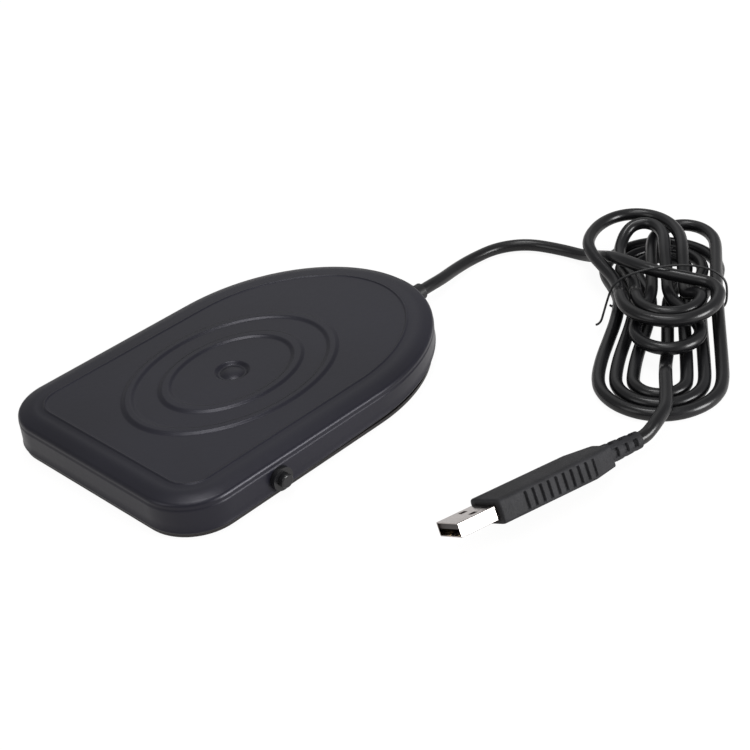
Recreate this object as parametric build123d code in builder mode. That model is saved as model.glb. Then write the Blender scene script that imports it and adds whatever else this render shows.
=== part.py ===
"""USB foot pedal switch: a pressed steel treadle on a steel pan, with its cord, hank and plug.

Millimetres. +X to the pedal's right, +Y towards the cord end, +Z up.
The origin is on the floor, under the middle of the treadle.
"""

import os
from math import acos, cos, pi, radians, sin, sqrt, tan

from build123d import *

os.makedirs("parts", exist_ok=True)

# Treadle: outline, height and pressed sheet
treadle_width = 99.0
treadle_length = 146.5
treadle_height = 14.6
round_end_length = 61.0
front_corner_radius = 18.5
sheet = 1.0
skirt_front_gap = 2.4
skirt_rear_gap = 5.7
shoulder_drop = 0.9
crown_width = 5.0
shoulder_radius = 1.7
overrun = 1.0

# Pressed line and rings on the treadle's top
border_inset = 9.5
border_line_width = 0.9
border_line_height = 0.35
ring_centre_y = -8.9
ring_half_widths = (30.9, 26.7, 20.9, 16.4)
ring_length_share = 1.38
ring_height = 0.6
ring_slope = 0.9

# Dimple in the middle of the rings, and the rivet that sits in it
dimple_radius = 6.1
dimple_floor_radius = 4.9
dimple_depth = 0.9
rivet_head_radius = 4.3
rivet_head_height = 0.85
rivet_shank_radius = 1.6
rivet_tail_radius = 2.7
rivet_tail_height = 0.8
washer_radius = 4.0
washer_thickness = 0.5

# Base pan under the treadle
pan_inset = 1.5
pan_rear_tuck = 1.6
pan_sheet = 1.0
floor_sheet = 1.2
lip_inset = 0.6
lip_height = 1.5
lip_round = 0.5
wall_top = 10.0
foot_proud = 0.5

# Rubber feet, pushed through the pan's floor
foot_radius = 6.0
foot_stem_radius = 2.0
foot_barb_radius = 2.9
foot_barb_height = 1.3
foot_front_x = 37.0
foot_front_y = -60.0
foot_rear_x = 30.0
foot_rear_y = 36.0

# Pivot axle across the pedal, its flanged bushes and clips
pivot_y = -34.4
pivot_z = 6.8
axle_radius = 2.4
axle_proud = 2.1
axle_round = 0.5
bush_flange_radius = 4.1
bush_flange_thickness = 1.9
bush_barrel_radius = 3.3
running_clearance = 0.05
ear_radius = 4.4
clip_radius = 4.0
clip_thickness = 0.7
clip_groove_depth = 0.4
clip_mouth = 3.4
press_angle = 1.3

# Leaf spring across the pedal, under the rivet
leaf_width = 10.0
leaf_thickness = 0.6
leaf_half_span = 36.0
leaf_half_crown = 7.0
leaf_toe = 4.0
leaf_toe_rise_share = 1 / 3
leaf_bend_radius = 6.0

# Snap switch: case, side cover, lever, plunger, terminals
switch_y = 5.5
switch_length = 12.8
switch_thickness = 5.8
switch_height = 6.5
switch_cover_thickness = 1.0
switch_floor_gap = 1.0
switch_hole_spacing = 6.5
switch_hole_radius = 1.05
switch_hole_height = 1.9
plunger_radius = 0.8
plunger_from_hinge = 3.4
plunger_depth = 1.5
plunger_room = 0.6
hinge_end_gap = 1.2
eye_radius = 0.65
eye_gap = 0.2
lever_pin_radius = 0.3
lever_thickness = 0.35
lever_width = 3.4
lever_reach = 12.2
lever_rise = 5.2
lever_tip_radius = 0.8
lug_thickness = 1.0
terminal_width = 1.3
terminal_thickness = 0.4
terminal_reach = 4.2
terminal_spacing = 4.4

# Bracket, rivets and screws of the switch
bracket_sheet = 0.8
bracket_foot = 10.0
bracket_length = 13.0
bracket_bend = 0.9
bracket_rivet_radius = 1.1
bracket_rivet_head = 2.0
bracket_rivet_height = 0.7
bracket_rivet_spacing = 7.4
screw_head_radius = 1.8
screw_head_height = 1.2
screw_slot_width = 0.5
screw_slot_depth = 0.6
screw_end = 0.8

# Rubber pad that presses the lever, bumpers and stops
pad_width = 7.0
pad_length = 8.0
pad_gap = 0.15
bumper_radius = 3.5
bumper_x = 24.0
bumper_y = -61.0
stop_x = 24.0
stop_y = 52.0
stop_gap = 0.3

# Cord and its way into the pan
cord_diameter = 4.6
cord_exit_x = 6.6
cord_exit_z = 6.0
bushing_flange_radius = 4.1
bushing_flange_thickness = 1.2
bushing_neck_radius = 3.3
bushing_collar_radius = 3.9
bushing_collar_length = 5.6
bushing_nose_radius = 3.2
bushing_nose_length = 3.4
pad_wall = 2.0
notch_gap = 0.6
inner_cord_end_y = 40.0
clamp_y = 50.0
clamp_width = 5.0
clamp_sheet = 0.8
clamp_foot = 9.0
clamp_screw_radius = 1.2
wire_radius = 0.7
wire_spread = 1.0
fold_share = 0.45

# Free lead from the bushing to the hank: points on its route, chosen by hand
lead_points = (
    (6.3, 87.4, 5.6),
    (4.6, 95.6, 2.7),
    (2.9, 110.5, 2.5),
    (4.0, 124.5, 2.5),
    (12.0, 133.3, 2.5),
    (25.5, 138.6, 2.5),
    (38.0, 139.9, 3.2),
    (49.5, 134.4, 9.2),
    (61.0, 128.0, 15.2),
    (74.0, 126.3, 15.9),
)

# Hank, tied at its waist: six folds towards the plug and six away, nested on the floor or raised
hank_waist = (81.0, 126.25)
hank_turn = -55.2
tube_start = cord_diameter
hank_floor_z = 2.42
hank_level = 5.5
waist_lift = 0.88
column_pitch = 5.75
nest_pitch = 5.95
nest_folds = 3
near_nest = (70.0, 21.0, 0.5, 49.0)
far_nest = (48.0, 21.4, 0.5, 27.0)

# Raised folds: reach, half width, middle, shoulder, then the levels that they begin and stay on
near_folds = [
    (29.0, 17.2, 3.5, 12.0, 2.15, 2),
    (23.4, 11.4, 3.3, 12.0, 2, 2),
    (38.0, 11.5, 3.0, 26.0, 1, 1),
]
far_folds = [
    (51.0, 17.5, -9.6, 27.0, 2, 2),
    (43.5, 8.3, -7.0, 29.0, 1, 2),
    (52.0, 12.0, 8.5, 36.0, 1, 1),
]

# Columns of the waist's strands to each side, in pitches, and their levels, fold by fold
left_columns = (2.5, 1.5, 0.5, 2.5, 1.5, 0.5)
right_columns = (1.5, 0.5, 3.5, 2.5, 1.5, 0.5)
waist_levels = (1, 1, 1, 0, 0, 0)

# First knot, and the tail's last ones: along, across, level, then the cord's direction there
hank_first_knot = (3.0, 15.5, 2.2, 0.30, 0.95, -0.05)
hank_last_knots = (
    (30.0, 3.0, 0, 1, 0, 0),
    (41.0, 2.4, 0, 1, 0, 0),
    (54.0, 2.4, 1, 1, 0, 0),
    (69.2, 2.7, 0.98, 1, -0.04, 0),
    (75.7, 1.6, 0.95, 0.92, -0.40, -0.12),
)

# Straight lengths of the tail at both its ends
tail_straight = 3.0

# Plug: its axis points from the cord to the shell, a little up, and it lies rolled on one edge
plug_front = (115.2, -10.2, 9.0)
plug_heading = 10.7
plug_pitch = 3.0
plug_roll = 28.2
mould_length = 46.5
mould_width = 16.0
mould_thickness = 8.0
mould_corner = 1.2
mould_rear_length = 9.5
mould_rear_width = 10.5
mould_rear_thickness = 7.2
grip_count = 10
grip_start = 9.8
grip_pitch = 3.0
grip_width = 0.6
grip_depth = 0.5
grip_height = 5.6
relief_length = 15.0
relief_rear_radius = 2.9
relief_front_radius = 3.5
relief_slot_rows = 3
relief_slot_start = 2.6
relief_slot_pitch = 4.2
relief_slot_width = 1.7
relief_slot_height = 3.4
shell_length = 14.3
shell_width = 12.0
shell_height = 4.5
shell_sheet = 0.3
shell_depth = 5.0
shell_hole_length = 2.4
shell_hole_width = 2.2
shell_hole_spacing = 5.6
shell_hole_from_mould = 5.2
tongue_height = 1.9
tongue_recess = 0.6
contact_width = 1.1
contact_thickness = 0.25
contact_spacing = 2.2
contact_mouth_gap = 1.6
board_length = 30.0
board_width = 11.0
board_thickness = 1.0
board_rear_gap = 3.0
chip_size = 4.6
chip_height = 1.4

# Tie round the waist, over the lead, with one end sticking out: along, across, height
tie_radius = 0.4
tie_bend = 1.0
tie_points = (
    (20.5, -22.5, 2.6),
    (12.5, -20.8, 2.2),
    (5.0, -19.8, 2.2),
    (2.2, -18.6, 6.0),
    (2.8, -16.6, 13.0),
    (2.5, -9.0, 17.0),
    (-0.8, 4.5, 19.2),
    (-1.0, 14.0, 18.8),
    (-0.5, 22.5, 13.5),
    (0, 23.9, 8.5),
    (0, 23.6, 2.0),
    (0, 20.4, 0.42),
    (0, -15.6, 0.42),
    (-0.3, -18.0, 2.4),
)

# Derived heights and places
half_width = treadle_width / 2
front_y = -treadle_length / 2
rear_y = treadle_length / 2
ceiling = treadle_height - sheet
shoulder_z = treadle_height - shoulder_drop
floor_top = foot_proud + floor_sheet
pan_half_width = half_width - pan_inset
cord_radius = cord_diameter / 2
press_slope = radians(press_angle)


def pedal_outline(inset, tuck=0.0):
    """Outline drawn in by inset: straight front, round corners, straight sides, half an ellipse behind."""
    half = half_width - inset
    front = front_y + inset
    shoulder = rear_y - round_end_length
    with BuildSketch(Plane.XY, mode=Mode.PRIVATE) as face:
        with BuildLine():
            FilletPolyline(
                (-half, shoulder),
                (-half, front),
                (half, front),
                (half, shoulder),
                radius=front_corner_radius - inset,
            )
            EllipticalCenterArc((0, shoulder), half, round_end_length - inset - tuck, arc_size=180)
        make_face()
    return face.sketch


# Treadle cover: one sheet steel pressing
with BuildPart() as treadle_cover:
    with BuildSketch(Plane.XY.offset(skirt_front_gap)):
        add(pedal_outline(0))
    extrude(amount=shoulder_z - skirt_front_gap)
    with BuildSketch(Plane.XY.offset(shoulder_z)):
        add(pedal_outline(0))
    with BuildSketch(Plane.XY.offset(treadle_height)):
        add(pedal_outline(crown_width))
    loft(ruled=True)
    shoulder_edges = treadle_cover.edges().filter_by_position(Axis.Z, shoulder_z, shoulder_z)
    fillet(shoulder_edges, shoulder_radius)
    # The inside follows the outside at one sheet's distance
    with BuildSketch(Plane.XY.offset(skirt_front_gap)):
        add(pedal_outline(sheet))
    extrude(amount=shoulder_z - sheet - skirt_front_gap, mode=Mode.SUBTRACT)
    with BuildSketch(Plane.XY.offset(shoulder_z - sheet)):
        add(pedal_outline(sheet))
    with BuildSketch(Plane.XY.offset(ceiling)):
        add(pedal_outline(crown_width + sheet))
    loft(ruled=True, mode=Mode.SUBTRACT)
    # The skirt's lower edge climbs towards the cord end
    with BuildSketch(Plane.YZ):
        with BuildLine():
            Polyline(
                (front_y - overrun, skirt_front_gap - overrun),
                (front_y - overrun, skirt_front_gap),
                (front_y, skirt_front_gap),
                (rear_y + overrun, skirt_rear_gap),
                (rear_y + overrun, skirt_front_gap - overrun),
                close=True,
            )
        make_face()
    extrude(amount=half_width + overrun, both=True, mode=Mode.SUBTRACT)
    # Pressed line that follows the outline
    with BuildSketch(Plane.XY.offset(treadle_height)):
        add(pedal_outline(border_inset - border_line_width / 2))
        add(pedal_outline(border_inset + border_line_width / 2), mode=Mode.SUBTRACT)
    extrude(amount=border_line_height)
    # Two raised oval rings with sloping sides
    for outer, inner in (ring_half_widths[:2], ring_half_widths[2:]):
        for half, shrink, how in ((outer, ring_slope, Mode.ADD), (inner, -ring_slope, Mode.SUBTRACT)):
            with BuildSketch(Plane.XY.offset(treadle_height)):
                with Locations((0, ring_centre_y)):
                    Ellipse(half, half * ring_length_share)
            with BuildSketch(Plane.XY.offset(treadle_height + ring_height)):
                with Locations((0, ring_centre_y)):
                    Ellipse(half - shrink, half * ring_length_share - shrink)
            loft(ruled=True, mode=how)
    # Dimple: the sheet is pushed down round the rivet
    with BuildSketch(Plane.XY.offset(ceiling)):
        with Locations((0, ring_centre_y)):
            Circle(dimple_radius + sheet / 2)
    extrude(amount=-dimple_depth)
    with BuildSketch(Plane.XY.offset(treadle_height)):
        with Locations((0, ring_centre_y)):
            Circle(dimple_radius)
    with BuildSketch(Plane.XY.offset(treadle_height - dimple_depth)):
        with Locations((0, ring_centre_y)):
            Circle(dimple_floor_radius)
    loft(ruled=True, mode=Mode.SUBTRACT)
    with Locations((0, ring_centre_y, treadle_height)):
        Hole(rivet_shank_radius)
    # Holes for the bushes in both skirts
    with Locations(Plane.YZ.offset(-half_width - overrun)):
        with Locations((pivot_y, pivot_z)):
            Cylinder(
                bush_barrel_radius,
                treadle_width + 2 * overrun,
                align=(Align.CENTER, Align.CENTER, Align.MIN),
                mode=Mode.SUBTRACT,
            )
    # Notch that lets the skirt pass the cord's bushing
    notch_half = bushing_collar_radius + notch_gap
    notch_top = cord_exit_z + bushing_collar_radius + (rear_y - pivot_y) * press_slope + notch_gap
    with BuildSketch(Plane.XZ.offset(-rear_y - overrun)):
        with Locations((cord_exit_x, notch_top)):
            Rectangle(2 * notch_half, notch_top, align=(Align.CENTER, Align.MAX))
    extrude(amount=overrun + pan_rear_tuck + pan_inset + pan_sheet, mode=Mode.SUBTRACT)

treadle_cover.part.label = "treadle_cover"
export_step(treadle_cover.part, "parts/treadle_cover.step")


# Base pan: tray with a lip under the skirt, ears for the axle and a pad for the bushing
switch_front = switch_y - switch_length / 2
bracket_face_x = -switch_thickness / 2
bracket_rivet_x = bracket_face_x - bracket_foot * 0.6
clamp_screw_x = cord_exit_x + clamp_foot
foot_places = [
    (side * x, y)
    for x, y in ((foot_front_x, foot_front_y), (foot_rear_x, foot_rear_y))
    for side in (-1, 1)
]
bracket_rivet_places = [
    (bracket_rivet_x, switch_y + side * bracket_rivet_spacing / 2) for side in (-1, 1)
]
pan_rear = rear_y - pan_inset - pan_rear_tuck
wall_pad_face = pan_rear - pan_sheet / 2
with BuildPart() as base_pan:
    with BuildSketch(Plane.XY.offset(foot_proud)):
        add(pedal_outline(lip_inset, pan_rear_tuck))
    extrude(amount=lip_height)
    fillet(base_pan.edges().filter_by_position(Axis.Z, foot_proud, foot_proud), lip_round)
    with BuildSketch(Plane.XY.offset(foot_proud)):
        add(pedal_outline(pan_inset, pan_rear_tuck))
    extrude(amount=wall_top - foot_proud)
    with BuildSketch(Plane.XY.offset(floor_top)):
        add(pedal_outline(pan_inset + pan_sheet, pan_rear_tuck))
    extrude(amount=wall_top - floor_top, mode=Mode.SUBTRACT)
    for side in (-1, 1):
        with BuildSketch(Plane.YZ.offset(side * pan_half_width)):
            with Locations((pivot_y, pivot_z)):
                Circle(ear_radius)
        extrude(amount=-side * pan_sheet)
    with BuildSketch(Plane.YZ.offset(-pan_half_width)):
        with Locations((pivot_y, pivot_z)):
            Circle(axle_radius)
    extrude(amount=2 * pan_half_width, mode=Mode.SUBTRACT)
    # Flat pad on the rear wall, where the cord's bushing sits
    with BuildSketch(Plane.XZ.offset(-wall_pad_face)):
        with Locations((cord_exit_x, floor_top)):
            Rectangle(
                2 * bushing_flange_radius,
                wall_top - floor_top,
                align=(Align.CENTER, Align.MIN),
            )
    extrude(amount=pad_wall)
    with BuildSketch(Plane.XZ.offset(-pan_rear)):
        with Locations((cord_exit_x, cord_exit_z)):
            Circle(bushing_neck_radius)
    extrude(amount=2 * pad_wall, mode=Mode.SUBTRACT)
    # Holes in the floor for the feet, the bracket's rivets and the clamp's screw
    with BuildSketch(Plane.XY.offset(foot_proud)):
        with Locations(*foot_places):
            Circle(foot_stem_radius)
        with Locations(*bracket_rivet_places):
            Circle(bracket_rivet_radius)
        with Locations((clamp_screw_x, clamp_y)):
            Circle(clamp_screw_radius)
    extrude(amount=floor_sheet, mode=Mode.SUBTRACT)

base_pan.part.label = "base_pan"
export_step(base_pan.part, "parts/base_pan.step")


# Rubber feet: a disc below the floor, a stem through it and a barb above
with BuildPart() as rubber_feet:
    for x, y in foot_places:
        with BuildSketch(Plane.XY):
            with Locations((x, y)):
                Circle(foot_radius)
        extrude(amount=foot_proud)
        with BuildSketch(Plane.XY.offset(foot_proud)):
            with Locations((x, y)):
                Circle(foot_stem_radius)
        extrude(amount=floor_sheet)
        with BuildSketch(Plane.XY.offset(floor_top)):
            with Locations((x, y)):
                Circle(foot_barb_radius)
        with BuildSketch(Plane.XY.offset(floor_top + foot_barb_height)):
            with Locations((x, y)):
                Circle(foot_stem_radius / 2)
        loft(ruled=True)

rubber_feet.part.label = "rubber_feet"
export_step(rubber_feet.part, "parts/rubber_feet.step")


# Pivot axle: a steel rod across the pedal, its ends proud of the bushes
axle_end = half_width + bush_flange_thickness + axle_proud
clip_x = pan_half_width - pan_sheet - clip_thickness
with BuildPart() as pivot_axle:
    with BuildSketch(Plane.YZ.offset(-axle_end)):
        with Locations((pivot_y, pivot_z)):
            Circle(axle_radius)
    extrude(amount=2 * axle_end)
    fillet(pivot_axle.edges().group_by(Axis.X)[0], axle_round)
    fillet(pivot_axle.edges().group_by(Axis.X)[-1], axle_round)
    for start in (clip_x, -clip_x - clip_thickness):
        with BuildSketch(Plane.YZ.offset(start)):
            with Locations((pivot_y, pivot_z)):
                Circle(axle_radius)
                Circle(axle_radius - clip_groove_depth, mode=Mode.SUBTRACT)
        extrude(amount=clip_thickness, mode=Mode.SUBTRACT)

pivot_axle.part.label = "pivot_axle"
export_step(pivot_axle.part, "parts/pivot_axle.step")


# Open clips in the axle's grooves, against the inside of the pan's walls
with BuildPart() as axle_clips:
    for start in (clip_x, -clip_x - clip_thickness):
        with BuildSketch(Plane.YZ.offset(start)):
            with Locations((pivot_y, pivot_z)):
                Circle(clip_radius)
                Circle(axle_radius - clip_groove_depth, mode=Mode.SUBTRACT)
                Rectangle(
                    clip_mouth,
                    clip_radius,
                    align=(Align.CENTER, Align.MAX),
                    mode=Mode.SUBTRACT,
                )
        extrude(amount=clip_thickness)

axle_clips.part.label = "axle_clips"
export_step(axle_clips.part, "parts/axle_clips.step")


# Flanged bushes in the skirt, which turn on the axle with the treadle
with BuildPart() as pivot_bushes:
    for side in (-1, 1):
        with BuildSketch(Plane.YZ.offset(side * half_width)):
            with Locations((pivot_y, pivot_z)):
                Circle(bush_flange_radius)
                Circle(axle_radius + running_clearance, mode=Mode.SUBTRACT)
        extrude(amount=side * bush_flange_thickness)
        with BuildSketch(Plane.YZ.offset(side * half_width)):
            with Locations((pivot_y, pivot_z)):
                Circle(bush_barrel_radius)
                Circle(axle_radius + running_clearance, mode=Mode.SUBTRACT)
        extrude(amount=-side * sheet)

pivot_bushes.part.label = "pivot_bushes"
export_step(pivot_bushes.part, "parts/pivot_bushes.step")


# Rivet in the dimple, with its washer under the leaf spring
boss_bottom = ceiling - dimple_depth
leaf_top = boss_bottom - running_clearance
washer_top = leaf_top - leaf_thickness - running_clearance
tail_top = washer_top - washer_thickness
dimple_floor = treadle_height - dimple_depth
with BuildPart() as centre_rivet:
    with BuildSketch(Plane.YZ):
        with BuildLine():
            Polyline(
                (ring_centre_y, dimple_floor + rivet_head_height),
                (ring_centre_y, tail_top - rivet_tail_height),
                (ring_centre_y + rivet_tail_radius, tail_top - rivet_tail_height),
                (ring_centre_y + rivet_tail_radius, tail_top),
                (ring_centre_y + rivet_shank_radius, tail_top),
                (ring_centre_y + rivet_shank_radius, dimple_floor),
                (ring_centre_y + rivet_head_radius, dimple_floor),
            )
            dome_radius = (rivet_head_radius**2 + rivet_head_height**2) / (2 * rivet_head_height)
            RadiusArc(
                (ring_centre_y + rivet_head_radius, dimple_floor),
                (ring_centre_y, dimple_floor + rivet_head_height),
                -dome_radius,
            )
        make_face()
    revolve(axis=Axis((0, ring_centre_y, 0), (0, 0, 1)))

centre_rivet.part.label = "centre_rivet"
export_step(centre_rivet.part, "parts/centre_rivet.step")

with BuildPart() as rivet_washer:
    with BuildSketch(Plane.XY.offset(tail_top)):
        with Locations((0, ring_centre_y)):
            Circle(washer_radius)
            Circle(rivet_shank_radius, mode=Mode.SUBTRACT)
    extrude(amount=washer_thickness)

rivet_washer.part.label = "rivet_washer"
export_step(rivet_washer.part, "parts/rivet_washer.step")


# Leaf spring: an arched strip across the pan, its crown under the dimple, its toes on the floor
leaf_low = floor_top + leaf_thickness / 2
leaf_high = leaf_top - leaf_thickness / 2
with BuildPart() as leaf_spring:
    with BuildSketch(Plane.XZ.offset(-ring_centre_y)):
        with BuildLine():
            FilletPolyline(
                (-leaf_half_span - leaf_toe, leaf_low + leaf_toe * leaf_toe_rise_share),
                (-leaf_half_span, leaf_low),
                (-leaf_half_crown, leaf_high),
                (leaf_half_crown, leaf_high),
                (leaf_half_span, leaf_low),
                (leaf_half_span + leaf_toe, leaf_low + leaf_toe * leaf_toe_rise_share),
                radius=leaf_bend_radius,
            )
        trace(line_width=leaf_thickness)
    extrude(amount=leaf_width / 2, both=True)
    with Locations((0, ring_centre_y, leaf_top)):
        Hole(rivet_shank_radius + running_clearance, leaf_thickness * 2)

leaf_spring.part.label = "leaf_spring"
export_step(leaf_spring.part, "parts/leaf_spring.step")


# Snap switch: moulded case with a bore for the plunger and one lug for the lever's pin
case_bottom = floor_top + switch_floor_gap
case_top = case_bottom + switch_height
cover_x = switch_thickness / 2 - switch_cover_thickness
hinge_y = switch_front + hinge_end_gap
hinge_z = case_top + eye_gap + eye_radius
lever_gap = running_clearance * 2
plunger_y = hinge_y + plunger_from_hinge
lever_slope = tan(radians(lever_rise))
underside = hinge_z + eye_radius - lever_thickness
plunger_top = underside + (plunger_from_hinge - plunger_radius) * lever_slope - running_clearance
switch_hole_places = [
    (switch_y + side * switch_hole_spacing / 2, case_bottom + switch_hole_height)
    for side in (-1, 1)
]
with BuildPart() as switch_case:
    with BuildSketch(Plane.YZ.offset(-switch_thickness / 2)):
        with Locations((switch_y, case_bottom)):
            Rectangle(switch_length, switch_height, align=(Align.CENTER, Align.MIN))
        with Locations(*switch_hole_places):
            Circle(switch_hole_radius, mode=Mode.SUBTRACT)
    extrude(amount=switch_thickness - switch_cover_thickness)
    with BuildSketch(Plane.YZ.offset(-lever_width / 2 - lever_gap - lug_thickness)):
        with Locations((hinge_y, hinge_z)):
            Circle(eye_radius)
        with Locations((hinge_y, hinge_z)):
            Rectangle(2 * eye_radius, hinge_z - case_top, align=(Align.CENTER, Align.MAX))
        with Locations((hinge_y, hinge_z)):
            Circle(lever_pin_radius, mode=Mode.SUBTRACT)
    extrude(amount=lug_thickness)
    with Locations((0, plunger_y, case_top)):
        Hole(plunger_radius + running_clearance, plunger_depth + plunger_room)

switch_case.part.label = "switch_case"
export_step(switch_case.part, "parts/switch_case.step")

with BuildPart() as switch_cover:
    with BuildSketch(Plane.YZ.offset(cover_x)):
        with Locations((switch_y, case_bottom)):
            Rectangle(switch_length, switch_height, align=(Align.CENTER, Align.MIN))
        with Locations((hinge_y, hinge_z)):
            Circle(eye_radius)
        with Locations((hinge_y, hinge_z)):
            Rectangle(2 * eye_radius, hinge_z - case_top, align=(Align.CENTER, Align.MAX))
        with Locations((hinge_y, hinge_z)):
            Circle(lever_pin_radius, mode=Mode.SUBTRACT)
        with Locations(*switch_hole_places):
            Circle(switch_hole_radius, mode=Mode.SUBTRACT)
    extrude(amount=switch_cover_thickness)

switch_cover.part.label = "switch_cover"
export_step(switch_cover.part, "parts/switch_cover.step")

with BuildPart() as lever_pin:
    with BuildSketch(Plane.YZ.offset(-lever_width / 2 - lever_gap - lug_thickness)):
        with Locations((hinge_y, hinge_z)):
            Circle(lever_pin_radius)
    extrude(amount=lever_width / 2 + lever_gap + lug_thickness + switch_thickness / 2)

lever_pin.part.label = "lever_pin"
export_step(lever_pin.part, "parts/lever_pin.step")

with BuildPart() as switch_lever:
    with BuildSketch(Plane.YZ.offset(-lever_width / 2)):
        with Locations((hinge_y, hinge_z)):
            Circle(eye_radius)
        with Locations(Location((hinge_y, hinge_z, 0), (0, 0, lever_rise))):
            with Locations((0, eye_radius - lever_thickness)):
                Rectangle(lever_reach, lever_thickness, align=(Align.MIN, Align.MIN))
            with Locations((lever_reach, eye_radius - lever_thickness / 2)):
                Circle(lever_tip_radius)
        with Locations((hinge_y, hinge_z)):
            Circle(lever_pin_radius + running_clearance, mode=Mode.SUBTRACT)
    extrude(amount=lever_width)

switch_lever.part.label = "switch_lever"
export_step(switch_lever.part, "parts/switch_lever.step")

with BuildPart() as switch_plunger:
    with BuildSketch(Plane.XY.offset(case_top - plunger_depth)):
        with Locations((0, plunger_y)):
            Circle(plunger_radius)
    extrude(amount=plunger_top - case_top + plunger_depth)
    fillet(switch_plunger.edges().group_by(Axis.Z)[-1], plunger_radius / 3)

switch_plunger.part.label = "switch_plunger"
export_step(switch_plunger.part, "parts/switch_plunger.step")

with BuildPart() as switch_terminals:
    for step in (-1, 0, 1):
        with BuildSketch(Plane.XY.offset(case_bottom)):
            with Locations((0, switch_y + step * terminal_spacing)):
                Rectangle(
                    switch_thickness / 2 + terminal_reach,
                    terminal_width,
                    align=(Align.MIN, Align.CENTER),
                )
        extrude(amount=-terminal_thickness)

switch_terminals.part.label = "switch_terminals"
export_step(switch_terminals.part, "parts/switch_terminals.step")


# Bracket that carries the switch, riveted to the floor
bracket_mid_x = bracket_face_x - bracket_sheet / 2
with BuildPart() as switch_bracket:
    with BuildSketch(Plane.XZ.offset(-switch_y)):
        with BuildLine():
            FilletPolyline(
                (bracket_mid_x, case_top - switch_floor_gap),
                (bracket_mid_x, floor_top + bracket_sheet / 2),
                (bracket_mid_x - bracket_foot, floor_top + bracket_sheet / 2),
                radius=bracket_bend,
            )
        trace(line_width=bracket_sheet)
    extrude(amount=bracket_length / 2, both=True)
    with BuildSketch(Plane.YZ.offset(bracket_face_x - bracket_sheet)):
        with Locations(*switch_hole_places):
            Circle(switch_hole_radius)
    extrude(amount=bracket_sheet, mode=Mode.SUBTRACT)
    with BuildSketch(Plane.XY.offset(floor_top)):
        with Locations(*bracket_rivet_places):
            Circle(bracket_rivet_radius)
    extrude(amount=bracket_sheet, mode=Mode.SUBTRACT)

switch_bracket.part.label = "switch_bracket"
export_step(switch_bracket.part, "parts/switch_bracket.step")

with BuildPart() as bracket_rivets:
    with BuildSketch(Plane.XY.offset(foot_proud)):
        with Locations(*bracket_rivet_places):
            Circle(bracket_rivet_radius)
    extrude(amount=floor_sheet + bracket_sheet)
    with BuildSketch(Plane.XY.offset(floor_top + bracket_sheet)):
        with Locations(*bracket_rivet_places):
            Circle(bracket_rivet_head)
    extrude(amount=bracket_rivet_height)

bracket_rivets.part.label = "bracket_rivets"
export_step(bracket_rivets.part, "parts/bracket_rivets.step")

with BuildPart() as switch_screws:
    for y, z in switch_hole_places:
        with BuildSketch(Plane.YZ.offset(switch_thickness / 2)):
            with Locations((y, z)):
                Circle(screw_head_radius)
        extrude(amount=screw_head_height)
        with BuildSketch(Plane.YZ.offset(switch_thickness / 2)):
            with Locations((y, z)):
                Circle(switch_hole_radius)
        extrude(amount=-switch_thickness - bracket_sheet - screw_end)
        with BuildSketch(Plane.YZ.offset(switch_thickness / 2 + screw_head_height)):
            with Locations((y, z)):
                Rectangle(2 * screw_head_radius, screw_slot_width)
        extrude(amount=-screw_slot_depth, mode=Mode.SUBTRACT)

switch_screws.part.label = "switch_screws"
export_step(switch_screws.part, "parts/switch_screws.step")


# Rubber pad under the treadle, just above the lever's rolled tip
tip_y = hinge_y + lever_reach * cos(radians(lever_rise))
tip_z = (
    hinge_z
    + lever_reach * sin(radians(lever_rise))
    + (eye_radius - lever_thickness / 2) * cos(radians(lever_rise))
)
pad_bottom = tip_z + lever_tip_radius + pad_gap
with BuildPart() as actuator_pad:
    with BuildSketch(Plane.XY.offset(ceiling)):
        with Locations((0, tip_y)):
            RectangleRounded(pad_width, pad_length, pad_width / 5)
    extrude(amount=pad_bottom - ceiling)

actuator_pad.part.label = "actuator_pad"
export_step(actuator_pad.part, "parts/actuator_pad.step")


# Rubber bumpers under the front, which the treadle rests on, and stops under the round end
with BuildPart() as rest_bumpers:
    with BuildSketch(Plane.XY.offset(floor_top)):
        with Locations((-bumper_x, bumper_y), (bumper_x, bumper_y)):
            Circle(bumper_radius)
    extrude(amount=ceiling - running_clearance - floor_top)
    chamfer(rest_bumpers.edges().group_by(Axis.Z)[-1], bumper_radius / 4)

rest_bumpers.part.label = "rest_bumpers"
export_step(rest_bumpers.part, "parts/rest_bumpers.step")

with BuildPart() as travel_stops:
    with BuildSketch(Plane.XY.offset(floor_top)):
        with Locations((-stop_x, stop_y), (stop_x, stop_y)):
            Circle(bumper_radius)
    extrude(amount=ceiling - (stop_y + bumper_radius - pivot_y) * press_slope - stop_gap - floor_top)
    chamfer(travel_stops.edges().group_by(Axis.Z)[-1], bumper_radius / 4)

travel_stops.part.label = "travel_stops"
export_step(travel_stops.part, "parts/travel_stops.step")


# Bushing in the pan's rear wall: flange inside, neck, collar and nose outside
bushing_tip = pan_rear + bushing_collar_length + bushing_nose_length
neck_start = wall_pad_face - pad_wall
with BuildPart() as cord_bushing:
    for start, end, radius in (
        (neck_start - bushing_flange_thickness, neck_start, bushing_flange_radius),
        (neck_start, pan_rear, bushing_neck_radius),
        (pan_rear, pan_rear + bushing_collar_length, bushing_collar_radius),
        (pan_rear + bushing_collar_length, bushing_tip, bushing_nose_radius),
    ):
        with BuildSketch(Plane.XZ.offset(-end)):
            with Locations((cord_exit_x, cord_exit_z)):
                Circle(radius)
                Circle(cord_radius, mode=Mode.SUBTRACT)
        extrude(amount=end - start)

cord_bushing.part.label = "cord_bushing"
export_step(cord_bushing.part, "parts/cord_bushing.step")

with BuildPart() as inner_cord:
    with BuildSketch(Plane.XZ.offset(-bushing_tip)):
        with Locations((cord_exit_x, cord_exit_z)):
            Circle(cord_radius)
    extrude(amount=bushing_tip - inner_cord_end_y)

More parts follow.
